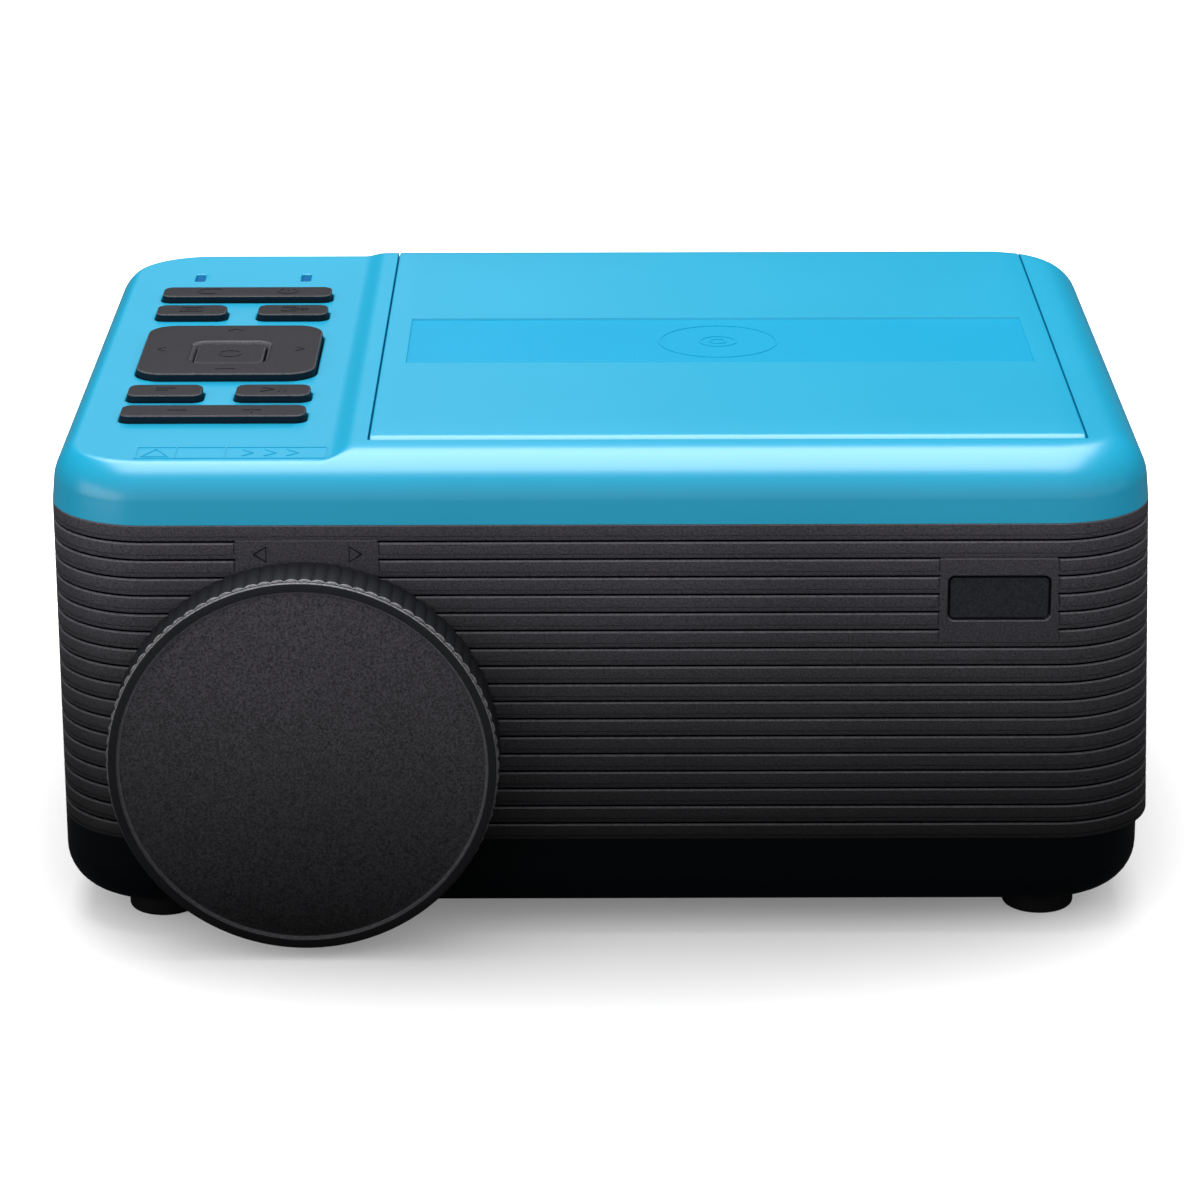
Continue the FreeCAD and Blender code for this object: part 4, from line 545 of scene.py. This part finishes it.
def flatRing(centre, radius, width, low, high, steps=96):
    # a ring of square section lying flat
    angle = np.arange(steps) * 2 * np.pi / steps
    section = [(0, low), (0, high), (width, high), (width, low)]
    points = np.array([[centre[0] + (radius - inwards) * np.cos(angle),
                        centre[1] + (radius - inwards) * np.sin(angle), np.full(steps, z)]
                       for inwards, z in section])
    return points.transpose(0, 2, 1).reshape(-1, 3), gridFaces(4, steps, closeRows=True)


markCentre = (discRings["x"], fromFront(discRings["y"]))
discMark = newMesh("discMark", joined(*(
    flatRing(markCentre, radius, discRings["width"], discRings["low"], discRings["top"])
    for radius in discRings["radii"])))
placed(discMark, "lid", "cover_blue", material=labelFinish)
print("lid ready")


# the ribbed band: its ribs, the plain fields, the lens, window, grille and socket openings, in millimetres
band = {"pitch": 3.78, "ribs": 18, "flare": 2.0, "lensX": -59.8, "lensZ": 41.8, "lensHoleR": 31.85,
        "landLeft": 13.2, "landRight": 15.2, "landLow": 73.65, "landTop": 3.3,
        "windowX": 79.9, "windowZ": 72.75, "windowW": 20.0, "windowH": 8.7, "windowR": 1.0,
        "landX": 1.9, "landRightX": 1.3, "landZ": 4.2, "fanY": 104.0, "fanZ": 46.0,
        "grilleW": 64.0, "grilleH": 42.0, "grilleSheet": 1.8, "grilleR": 0.4,
        "ports": (3.0, 89.0, 25.6, 43.6), "portsR": 2.0, "topLip": 0.2, "plateEnd": 2.5,
        "endGroove": (0.1, 0.4), "endDepth": 0.25, "facingFront": -0.93, "paintedShadeDepth": 0.3}


def ribRows():
    # how far down and how deep each point of a rib lies, from its upper edge: rounded lip, plate, narrow
    # crease, lower strip, groove; the third column says whether the point belongs to the plate
    steps = [(0.0, 1.3), (0.0, 0.36), (0.05, 0.22), (0.12, 0.11), (0.21, 0.04), (0.32, 0.0), (2.32, 0.0),
             (2.36, 0.2), (2.54, 0.2), (2.58, 0.0), (3.12, 0.0), (3.26, 0.04), (3.33, 0.14), (3.33, 1.3)]
    rows = [(case["seam"] - rib * band["pitch"] - down,
             min(depth, band["topLip"]) if rib == 0 and down == 0.0 else depth, down < band["plateEnd"])
            for rib in range(band["ribs"]) for down, depth in steps]
    return [np.array(column) for column in zip(*rows)]


ribHeights, ribDepths, onPlate = ribRows()
windowLeft, windowRight = band["windowX"] - band["windowW"] / 2, band["windowX"] + band["windowW"] / 2
windowLow, windowHigh = band["windowZ"] - band["windowH"] / 2, band["windowZ"] + band["windowH"] / 2
fieldEnds = [(band["lensX"] - band["landLeft"], band["lensX"] + band["landRight"], band["landLow"],
              case["seam"] - band["landTop"]),
             (windowLeft - band["landX"], windowRight + band["landRightX"],
              windowLow - band["landZ"], windowHigh + band["landZ"])]
# close columns at the ends of the plain fields: the plates end there in a short upright groove
endSteps = np.array([-0.44, -0.38, -0.14, -0.08, 0.04])
bandX = np.unique(np.concatenate([np.linspace(-straightX, straightX, 15)] + [
    np.concatenate([left + endSteps, right - endSteps]) for left, right, low, high in fieldEnds]))
cornerX = bandX[bandX > straightX + 1e-3] - straightX
bandX = bandX[(bandX >= -straightX) & (bandX <= straightX)]
bandY = np.linspace(straightLow, straightHigh, 9)
bandTurn = np.unique(np.concatenate([np.linspace(0, np.pi / 2, 29)[1:-1],
                                     np.arcsin(cornerX / case["cornerR"])]))
skeleton, outward = planPath(caseBox, case["cornerR"], bandX, bandY, bandTurn)
heights = np.concatenate([[case["seam"], case["bandLow"]], ribHeights[::-1]])
depths = np.concatenate([[case["wall"]] * 2, ribDepths[::-1]])
plateRow = np.concatenate([[False] * 2, onPlate[::-1]])
onFront = outward[:, 1] < band["facingFront"]
reachX = skeleton[:, 0] + case["cornerR"] * outward[:, 0]
sunk = np.repeat(depths[:, None], len(skeleton), 1)
near, far = band["endGroove"]
for left, right, low, high in fieldEnds:
    tall = (heights > low) & (heights < high)
    tall[:2] = False
    sunk[np.ix_(tall, onFront & (reachX > left) & (reachX < right))] = 0.0
    beside = (((reachX > left - far) & (reachX < left - near))
              | ((reachX > right + near) & (reachX < right + far)))
    ends = np.ix_(tall & plateRow, onFront & beside)
    sunk[ends] = np.maximum(sunk[ends], band["endDepth"])
spot = skeleton[None] + (case["cornerR"] - sunk)[:, :, None] * outward[None]
lean = (case["seam"] - heights) / (case["seam"] - case["bandLow"]) * band["flare"]
rightPart = skeleton[:, 0] > straightX - 1e-6
spot[:, rightPart, 0] += lean[:, None]
bandPoints = np.concatenate([spot, np.broadcast_to(heights[:, None, None], spot.shape[:2] + (1,))], -1)
bandFaces = gridFaces(len(heights), len(skeleton), closeRows=True)
# the insides of the grooves get a painted shade: all four corners of such a face lie deep
deep = (sunk > band["paintedShadeDepth"]) & (sunk < case["wall"])
deep &= np.roll(deep, -1, axis=0)
deep &= np.roll(deep, -1, axis=1)
ribShell = newMesh("ribShell", (bandPoints.reshape(-1, 3), bandFaces), weld=1e-8, slots=deep)
ribShell.data.materials.append(finishes["shell_grey"])
ribShell.data.materials.append(paintedGrooveShade)

lensAxis = (band["lensX"], band["lensZ"])
around = 128
lensHole = turnedGrid([(band["lensHoleR"], case["front"] - 3), (band["lensHoleR"], case["front"] + 6)],
                      lensAxis, around)
lensHole[1].extend([list(range(around)), list(range(around, 2 * around))[::-1]])
# the window's opening widens a little just behind the front face
windowCut = turnedToFront(ringStack(
    boxPlan(windowLeft, windowRight, windowLow, windowHigh, band["windowR"]), band["windowR"],
    [-0.58, -0.58, -0.45, -0.38, -0.38], [case["front"] + y for y in (-4, -0.01, 0.06, 0.2, 4)]))
fanY, sheet = fromFront(band["fanY"]), band["grilleSheet"]
grilleCut = turnedToSide(ringStack(
    boxPlan(fanY - band["grilleW"] / 2 + sheet, fanY + band["grilleW"] / 2 - sheet,
            band["fanZ"] - band["grilleH"] / 2 + sheet, band["fanZ"] + band["grilleH"] / 2 - sheet,
            band["grilleR"]), band["grilleR"], [0, 0], [-130, 130]))
portCut = turnedToFront(ringStack(boxPlan(*band["ports"], band["portsR"]), band["portsR"], [0, 0],
                                  [case["rear"] - 5, case["rear"] + 5]))
cutBy(ribShell, [lensHole, windowCut, grilleCut, portCut])
placed(ribShell, "case", "shell_grey", ["ribbed_band"], 24)
# painted highlight on the faces that turn upwards
refinish(ribShell, paintedLipHighlight, lambda middle, normal: (normal[2] > 0.3) & (normal[2] < 0.98))
print("ribbed band ready", len(ribShell.data.polygons))


# the focus ring and its sleeve, as radii and places along the lens axis in millimetres
ring = {"r": 39.4, "wall": 3.4, "front": -93.6, "middle": -88.0, "back": -82.05, "step": 3,
        "flutes": 90, "flute": 0.4, "sharpness": 2.4, "tubeR": 29.55, "sleeveR": 30.95, "sleeveBack": -69.25,
        "rimFrom": 30}


def fluted(depthByRow):
    # rounded ridges that meet in narrow valleys: share runs from -1 to 1 over each ridge
    def wave(angle, row):
        share = (angle * ring["flutes"] / (2 * np.pi)) % 1 * 2 - 1
        return -depthByRow[row] * np.abs(share) ** ring["sharpness"]
    return wave


outer, tip, heel = ring["r"], ring["front"], ring["back"]
ringProfile = [(outer - ring["wall"], tip), (outer - 1.3, tip), (outer - 0.7, tip), (outer - 0.2, tip + 0.04),
               (outer - 0.06, tip + 0.15), (outer, tip + 0.4), (outer, ring["middle"]), (outer, heel - 0.6),
               (outer - 0.15, heel - 0.2), (outer - 0.5, heel), (ring["sleeveR"], heel),
               (ring["sleeveR"], ring["sleeveBack"]), (ring["tubeR"], ring["sleeveBack"]),
               (ring["tubeR"], heel - ring["step"]), (outer - ring["wall"], heel - ring["step"])]
# how deep the flutes are at each point of the profile
flutes = np.array([0, 0, 0, 0.85, 0.95, 1, 1, 1, 0.9, 0.5, 0, 0, 0, 0, 0]) * ring["flute"]
steps = ring["flutes"] * 10
points = turnedGrid(ringProfile, lensAxis, steps, fluted(flutes))[0]
faces = gridFaces(len(ringProfile), steps, closeRows=True)
focusShell = newMesh("focusShell", (points, faces), recalc=True)
placed(focusShell, "focus", "ring_dark", ["focus_ring"], 40)


def fromAxis(middle):
    return np.hypot(middle[0] - band["lensX"], middle[2] - band["lensZ"])


# painted shade on the ring's flank, outside radius rimFrom
refinish(focusShell, paintedRimShade, lambda middle, normal: fromAxis(middle) > ring["rimFrom"])
# painted highlight on the front edge of the ridges
refinish(focusShell, paintedEdgeHighlight, lambda middle, normal: (
    (fromAxis(middle) > ring["r"] - 0.5) & (middle[1] < ring["front"] + 0.36)))
# painted shade along the ring's back, where it meets the case
refinish(focusShell, paintedGrooveShade, lambda middle, normal: middle[1] > ring["back"] - 0.7)

cap = {"r": 39.05, "faceR": 37.1, "front": -94.75, "faceDrop": 0.9, "back": -93.72, "skirtR": 35.7,
       "skirt": 5.27, "skirtWall": 1.5, "middleR": 18.0}
lip, sunkFace, faceR, skirtR = cap["front"], cap["front"] + cap["faceDrop"], cap["faceR"], cap["skirtR"]
capR, capBack, skirtIn = cap["r"], cap["back"], cap["skirtR"] - cap["skirtWall"]
capProfile = [(0.0, sunkFace), (cap["middleR"], sunkFace), (faceR - 1.2, sunkFace),
              (faceR - 0.45, sunkFace - 0.06), (faceR - 0.1, sunkFace - 0.3), (faceR, lip + 0.25),
              (faceR + 0.12, lip + 0.06), (faceR + 0.35, lip), (capR - 0.4, lip), (capR - 0.2, lip + 0.04),
              (capR - 0.05, lip + 0.16), (capR, lip + 0.4), (capR, capBack - 0.25), (capR - 0.25, capBack),
              (skirtR, capBack), (skirtR, capBack + cap["skirt"]), (skirtIn, capBack + cap["skirt"]),
              (skirtIn, capBack), (0.0, capBack)]
capShell = newMesh("capShell", turnedGrid(capProfile, lensAxis, 256), recalc=True)
placed(capShell, "cap", "ring_dark", ["lens_cap"], 40)
# painted shade on the cap's rim
refinish(capShell, paintedRimShade, lambda middle, normal: fromAxis(middle) > faceR + 0.2)
# painted highlight on the wall round the cap's sunk face
refinish(capShell, paintedLipHighlight, lambda middle, normal: (
    (np.abs(fromAxis(middle) - faceR + 0.1) < 0.3) & (middle[1] < sunkFace)))
# painted highlight on the cap's outer edge
refinish(capShell, paintedEdgeHighlight, lambda middle, normal: (
    (fromAxis(middle) > capR - 0.3) & (middle[1] < lip + 0.4)))
print("focus ring and cap ready")


def pillow(left, right, low, high, radius, bottom, top, edge=0.35, crown=0.06):
    # key cap: straight sides, a rounded upper edge of the given size, then a faintly crowned top
    plan = planPath((left, right, low, high), radius, np.linspace(left + radius, right - radius, 7),
                    np.linspace(low + radius, high - radius, 5), 8)
    turn = np.radians(np.linspace(0, 90, 6))
    insets = np.concatenate([[0.0], edge * (1 - np.cos(turn)), [edge + 0.5, edge + 1.0, radius - 0.01]])
    fall = np.concatenate([[top - bottom], edge * (1 - np.sin(turn)), [0, 0, 0]])
    rising = crown * np.clip((insets - edge) / 1.2, 0, 1)
    return ringStack(plan, radius, insets, top - crown - fall + rising)


def stroke(points, width, low, high):
    # a raised line of the given width along points, squared off at its ends
    points = np.asarray(points, float)
    along = np.gradient(points, axis=0)
    if len(points) > 2:
        ahead = np.diff(points, axis=0)
        ahead /= np.linalg.norm(ahead, axis=1, keepdims=True)
        along = np.concatenate([ahead[:1], ahead[:-1] + ahead[1:], ahead[-1:]])
    along = along / np.linalg.norm(along, axis=1, keepdims=True)
    across = np.stack([-along[:, 1], along[:, 0]], 1) * width / 2
    left, right = points + across, points - across
    count = len(points)
    corners = ((right, low), (right, high), (left, high), (left, low))
    section = np.stack([np.c_[edge, np.full(count, z)] for edge, z in corners], 1)
    faces = [[at * 4 + side, (at + 1) * 4 + side, (at + 1) * 4 + (side + 1) % 4, at * 4 + (side + 1) % 4]
             for at in range(count - 1) for side in range(4)]
    faces += [[0, 1, 2, 3], [4 * count - 1, 4 * count - 2, 4 * count - 3, 4 * count - 4]]
    return section.reshape(-1, 3), faces


def circlePath(x, radius, start=0, end=360):
    angle = np.radians(np.linspace(start, end, 28))
    return np.stack([x + radius * np.cos(angle), radius * np.sin(angle)], 1)


def rectPath(left, right, low, high):
    return [(left, low), (right, low), (right, high), (left, high), (left, low)]


mark = {"height": 0.12, "width": 0.42, "root": 0.3, "thin": 0.3, "panelHeight": 0.16, "frontHeight": 0.1}
keyTop = case["panel"] + pad["rise"]


def marks(lines, top, at):
    return [stroke(np.asarray(line, float) + at, mark["width"], top - mark["root"], top + mark["height"])
            for line in lines]


# plain strokes on each key, measured from its middle
strokesOfKey = {
    "front_bar_key": [[(-9.5, 0), (-5.5, 0)], [(6.0, 0), (10.0, 0)], [(8.0, -2), (8.0, 2)]],
    "rear_bar_key": [circlePath(-9.2, 2.0, 90, 270), [(-9.2, 2), (-6.2, 2)], [(-9.2, -2), (-7.2, -2)],
                     circlePath(9.2, 2.1, 120, 420), [(9.2, 0.4), (9.2, 2.7)]],
    "rear_left_key": [rectPath(-2.4, 2.4, -1.6, 1.6), [(-1.4, 0.2), (1.4, 0.2)]],
    "rear_right_key": [rectPath(-2.4, 0.8, -1.6, 1.6), [(-0.6, 0), (3.2, 0)],
                       [(2.0, 1.1), (3.3, 0), (2.0, -1.1)]],
    "front_left_key": [[(-2.0, 1.2), (2.0, 1.2)], [(-2.0, -0.4), (0.6, -0.4)]],
    "front_right_key": [[(-2.4, -1.5), (-2.4, 1.5), (0.2, 0), (-2.4, -1.5)],
                        [(1.3, -1.5), (1.3, 1.5)], [(2.5, -1.5), (2.5, 1.5)]]}


# the faces of a rounded upper edge, which get a painted highlight
def onEdge(middle, normal):
    return (normal[2] > 0.3) & (normal[2] < 0.9)


bodies = frame["record"]["behaviour"]["bodies"]
for node, (left, right, middle, depth, radius) in keyPlans.items():
    if node == "nav_pad":
        continue
    low, high = fromFront(middle - depth / 2), fromFront(middle + depth / 2)
    block = pillow(left, right, low, high, radius, pad["keyLow"], keyTop)
    strokes = marks(strokesOfKey[node], keyTop, ((left + right) / 2, fromFront(middle)))
    key = newMesh(node.replace("_key", "Key").replace("_", "-"), joined(block, *strokes), weld=1e-8)
    body = [name for name, members in bodies.items() if node in members][0]
    placed(key, body, "key_grey", [node], 38)
    # painted shade on the upright sides
    refinish(key, keySide, lambda middle, normal: np.abs(normal[2]) < 0.2)
    # painted highlight on the rounded upper edge
    refinish(key, keyEdge, onEdge)

# direction pad: rounded plate with a well for the centre key, its rear lip turned up
nav = {"centreY": 81.8, "centreW": 14.8, "centreD": 15.0, "gap": 0.35, "lip": 0.1125, "edge": 0.4,
       "centreRise": 1.2, "centreLow": 97.6, "centreEdge": 0.5, "centreMark": 2.4}


def navSurface():
    left, right, middle, depth, radius = keyPlans["nav_pad"]
    halfW, halfD, gap, edge, top = nav["centreW"] / 2, nav["centreD"] / 2, nav["gap"], nav["edge"], keyTop
    holeBox = (pad["x"] - halfW - gap, pad["x"] + halfW + gap,
               fromFront(nav["centreY"] - halfD - gap), fromFront(nav["centreY"] + halfD + gap))
    holeR = pad["keyR"] + gap

    def evenPlan(box, corner):
        return planPath(box, corner, box[0] + corner + np.linspace(0, 1, 15) * (box[1] - box[0] - 2 * corner),
                        box[2] + corner + np.linspace(0, 1, 11) * (box[3] - box[2] - 2 * corner), 10)

    outer = evenPlan((left, right, fromFront(middle - depth / 2), fromFront(middle + depth / 2)), radius)
    inner = evenPlan(holeBox, holeR)
    turn = np.radians(np.linspace(0, 90, 6))
    rows = []

    def addRow(spot, z):
        rows.append(np.c_[spot, z + np.zeros(len(spot))])

    addRow(outer[0] + radius * outer[1], pad["keyLow"])
    for angle in turn:
        addRow(outer[0] + (radius - edge * (1 - math.cos(angle))) * outer[1],
               top - edge * (1 - math.sin(angle)))
    outerRing, innerRing = outer[0] + (radius - edge) * outer[1], inner[0] + (holeR + 2.6) * inner[1]
    for share in (0.25, 0.5, 0.75, 0.9, 1.0):
        addRow(outerRing * (1 - share) + innerRing * share, top)
    # dish down to the centre key, with a raised lip at its rear side
    backness = np.clip(inner[1][:, 1], 0, 1)
    for reach, fall, lipShare in ((2.0, 0.0, 0.7), (1.4, 0.0, 1.0), (1.0, 0.06, 1.0), (0.7, 0.2, 0.8),
                                  (0.45, 0.42, 0.5), (0.3, 0.65, 0.2), (0.15, 0.9, 0.0), (0.0, 1.3, 0.0)):
        addRow(inner[0] + (holeR + reach) * inner[1], top - fall + nav["lip"] * lipShare * backness)
    addRow(inner[0] + holeR * inner[1], pad["keyLow"])
    grid = np.array(rows)
    return grid.reshape(-1, 3), gridFaces(len(rows), grid.shape[1], closeRows=True)


navX, navY = pad["x"], fromFront(keyPlans["nav_pad"][2])
arrows = [[(-1.6, 15.0), (0, 16.6), (1.6, 15.0)], [(-2.2, -15.6), (2.2, -15.6)],
          [(-14.2, -1.6), (-15.8, 0), (-14.2, 1.6)], [(14.2, -1.6), (15.8, 0), (14.2, 1.6)]]
navPad = newMesh("navPad", joined(navSurface(), *marks(arrows, keyTop, (navX, navY))), weld=1e-8)
placed(navPad, "nav", "key_grey", ["nav_pad"], 38)
# painted shade on the pad's outer upright sides
refinish(navPad, keySide, lambda middle, normal: (np.abs(normal[2]) < 0.2) & (
    (np.abs(middle[0] - navX) > 15) | (np.abs(middle[1] - navY) > 16)))
# painted highlight on the rounded upper edges
refinish(navPad, keyEdge, onEdge)
centreTop, centreY = case["panel"] + nav["centreRise"], fromFront(nav["centreY"])
halfW, halfD = nav["centreW"] / 2, nav["centreD"] / 2
centreKey = newMesh("centreKey", joined(
    pillow(pad["x"] - halfW, pad["x"] + halfW, centreY - halfD, centreY + halfD, pad["keyR"],
           nav["centreLow"], centreTop, nav["centreEdge"]),
    *marks([circlePath(0, nav["centreMark"])], centreTop, (pad["x"], centreY))), weld=1e-8)
placed(centreKey, "centre", "key_grey", ["centre_key"], 38)
# painted highlight on the rounded upper edge
refinish(centreKey, keyEdge, onEdge)

# plain raised outlines on the panel, and two triangles over the focus ring
strip = {"left": -93.4, "right": -55.2, "front": 8.0, "rear": 15.5, "dividers": (-85.5, -75.5),
         "triangle": (-92.2, -89.5, -86.8), "arrows": (-72.0, -67.5, -63.0), "arrow": 2.2}
pointers = {"places": ((-67.9, -1), (-49.3, 1)), "ahead": 1.5, "behind": 1.0, "heights": (80.8, 82.4, 84.0)}
stripLow, stripHigh = fromFront(strip["front"]), fromFront(strip["rear"])
cornerLeft, peak, cornerRight = strip["triangle"]
stripLines = [rectPath(strip["left"], strip["right"], stripLow, stripHigh)]
stripLines += [[(x, stripLow), (x, stripHigh)] for x in strip["dividers"]]
stripLines += [[(cornerLeft, stripLow + 1.2), (cornerRight, stripLow + 1.2), (peak, stripHigh - 1.2),
                (cornerLeft, stripLow + 1.2)]]
stripLines += [[(x, stripLow + 1.6), (x + strip["arrow"], (stripLow + stripHigh) / 2), (x, stripHigh - 1.6)]
               for x in strip["arrows"]]
panelMarks = newMesh("panelMarks", joined(*(
    stroke(line, mark["thin"], case["panel"] - mark["root"], case["panel"] + mark["panelHeight"])
    for line in stripLines)), weld=1e-8)
placed(panelMarks, "case", "cover_blue")
foot, half, head = pointers["heights"]
triangles = []
for x, way in pointers["places"]:
    point, base = x + way * pointers["ahead"], x - way * pointers["behind"]
    triangles.append([(point, half), (base, head), (base, foot), (point, half)])
markPoints, markFaces = joined(*(
    stroke(line, mark["thin"], -mark["root"], mark["frontHeight"]) for line in triangles))
markPoints = np.stack([markPoints[:, 0], case["front"] - markPoints[:, 2], markPoints[:, 1]], -1)
focusMarks = newMesh("focusMarks", (markPoints, markFaces), weld=1e-8)
markGrey = finish("markGrey", linear(26, 26, 28), 0.6, specular=0.1)
placed(focusMarks, "case", "shell_grey", material=markGrey)
print("keys ready")


# the camera's place in millimetres, its lens and sensor, and its turns in radians
view = {"position": (-1.15163, -912.311, 355.629), "lens": 131.376, "sensor": 36.0,
        "pitch": 0.32824, "yaw": 0.00115, "roll": -0.00216, "near": 0.05, "far": 20.0}


def makeCamera():
    camera = bpy.data.objects.new("camera", bpy.data.cameras.new("camera"))
    scene.collection.objects.link(camera)
    camera.data.lens, camera.data.sensor_width = view["lens"], view["sensor"]
    camera.data.clip_start, camera.data.clip_end = view["near"], view["far"]
    pitch, yaw, roll = view["pitch"], view["yaw"], view["roll"]
    ahead = np.array([math.sin(yaw) * math.cos(pitch), math.cos(yaw) * math.cos(pitch), -math.sin(pitch)])
    side = np.array([math.cos(yaw), -math.sin(yaw), 0.0])
    up = np.cross(side, ahead)
    across = math.cos(roll) * side + math.sin(roll) * up
    upright = -math.sin(roll) * side + math.cos(roll) * up
    turn = Matrix(np.stack([across, upright, -ahead], 1).tolist()).to_4x4()
    camera.matrix_world = Matrix.Translation([p * millimetre for p in view["position"]]) @ turn
    scene.camera = camera


makeCamera()

light = {"world": 0.72, "frontShare": 1.05, "floorGlow": 0.16, "floorWhite": 0.74, "floorGloss": 0.02,
         "floorDim": 0.045, "floorHalf": 6000.0, "glowSpan": (0.085, 0.25), "sheenAt": -0.08,
         "sheenWidth": 0.11, "sheenLow": 0.03, "sheenPeak": 0.44, "sheenBehind": (0.1, 0.6),
         "sheenAbove": (0.02, 0.28)}
# each lamp's place, aim and size in metres, and its power
lamps = {"softbox": ((-0.05, 0.42, 1.18), (-0.05, 0.1, 0.0), (1.1, 1.25), 16.5),
         "leftLamp": ((-1.6, -0.95, 0.3), (0, -0.05, 0.05), (1.8, 1.2), 8.0),
         "rightLamp": ((1.6, -0.95, 0.3), (0, -0.05, 0.05), (2.4, 0.5), 0.8)}


def seenDirectly(tree, path):
    # one for camera and transmission rays
    return mathNode(tree, "MAXIMUM", path["Is Camera Ray"], path["Is Transmission Ray"])


# the room: even light for surfaces, white for the camera, and for gloss a white backdrop behind the object
world = bpy.data.worlds.new("studio")
scene.world = world
world.use_nodes = True
tree = world.node_tree
tree.nodes.clear()
path = addNode(tree, "LightPath", {}).outputs
toward = addNode(tree, "SeparateXYZ", {0: addNode(tree, "TexCoord", {}).outputs["Generated"]}).outputs
offset = mathNode(tree, "SUBTRACT", toward["X"], light["sheenAt"])
offset = mathNode(tree, "DIVIDE", offset, light["sheenWidth"])
square = mathNode(tree, "MULTIPLY", offset, offset)
bell = mathNode(tree, "EXPONENT", mathNode(tree, "MULTIPLY", square, -1.0))
behind = mapRange(tree, toward["Y"], light["sheenBehind"], smooth=True)
above = mapRange(tree, toward["Z"], light["sheenAbove"], smooth=True)
patch = mathNode(tree, "MULTIPLY", behind, above)
sheen = mathNode(tree, "MULTIPLY", mathNode(tree, "MULTIPLY", bell, light["sheenPeak"]), patch)
sheen = mathNode(tree, "MAXIMUM", sheen, light["sheenLow"])
ahead = mathNode(tree, "MAXIMUM", mathNode(tree, "MULTIPLY", toward["Y"], -1.0), 0.0)
fill = mathNode(tree, "ADD", mathNode(tree, "MULTIPLY", ahead, light["frontShare"]), light["world"])
even = mathNode(tree, "MULTIPLY", mathNode(tree, "SUBTRACT", 1.0, path["Is Glossy Ray"]), fill)
strength = mathNode(tree, "ADD", even, mathNode(tree, "MULTIPLY", sheen, path["Is Glossy Ray"]))
strength = mathNode(tree, "MAXIMUM", strength, seenDirectly(tree, path))
room = addNode(tree, "Background", {"Strength": strength})
addNode(tree, "OutputWorld", {"Surface": room.outputs[0]})

# the floor: the camera sees it lit and glowing, more so further from the object, and other light sees it dim
floorMaterial = bpy.data.materials.new("paleFloor")
floorMaterial.use_nodes = True
tree = floorMaterial.node_tree
tree.nodes.clear()
place = addNode(tree, "TexCoord", {}).outputs["Object"]
distance = addNode(tree, "VectorMath", {0: place}, "LENGTH").outputs["Value"]
growth = mapRange(tree, distance, light["glowSpan"], (light["floorGlow"], 1.0), smooth=True)
lit = addNode(tree, "BsdfDiffuse", {"Color": (light["floorWhite"],) * 3 + (1,)})
dim = addNode(tree, "BsdfDiffuse", {"Color": (light["floorDim"],) * 3 + (1,)})
glow = addNode(tree, "Emission", {"Strength": growth})
both = addNode(tree, "AddShader", {0: lit.outputs[0], 1: glow.outputs[0]})
path = addNode(tree, "LightPath", {}).outputs
gloss = mathNode(tree, "MULTIPLY", path["Is Glossy Ray"], light["floorGloss"])
share = mathNode(tree, "MAXIMUM", seenDirectly(tree, path), gloss)
seen = addNode(tree, "MixShader", {0: share, 1: dim.outputs[0], 2: both.outputs[0]})
addNode(tree, "OutputMaterial", {"Surface": seen.outputs[0]})
half = light["floorHalf"]
floor = newMesh("floor", (np.array([(-half, -half, 0), (half, -half, 0), (half, half, 0), (-half, half, 0)]),
                          [[0, 1, 2, 3]]))
floor.data.materials.append(floorMaterial)

for name, (position, aim, size, power) in lamps.items():
    data = bpy.data.lights.new(name, "AREA")
    data.shape, data.size, data.size_y, data.energy = "RECTANGLE", size[0], size[1], power
    lamp = bpy.data.objects.new(name, data)
    scene.collection.objects.link(lamp)
    lamp.location = position
    lamp.rotation_euler = (Vector(aim) - Vector(position)).to_track_quat("-Z", "Y").to_euler()
print("camera, floor and light ready")
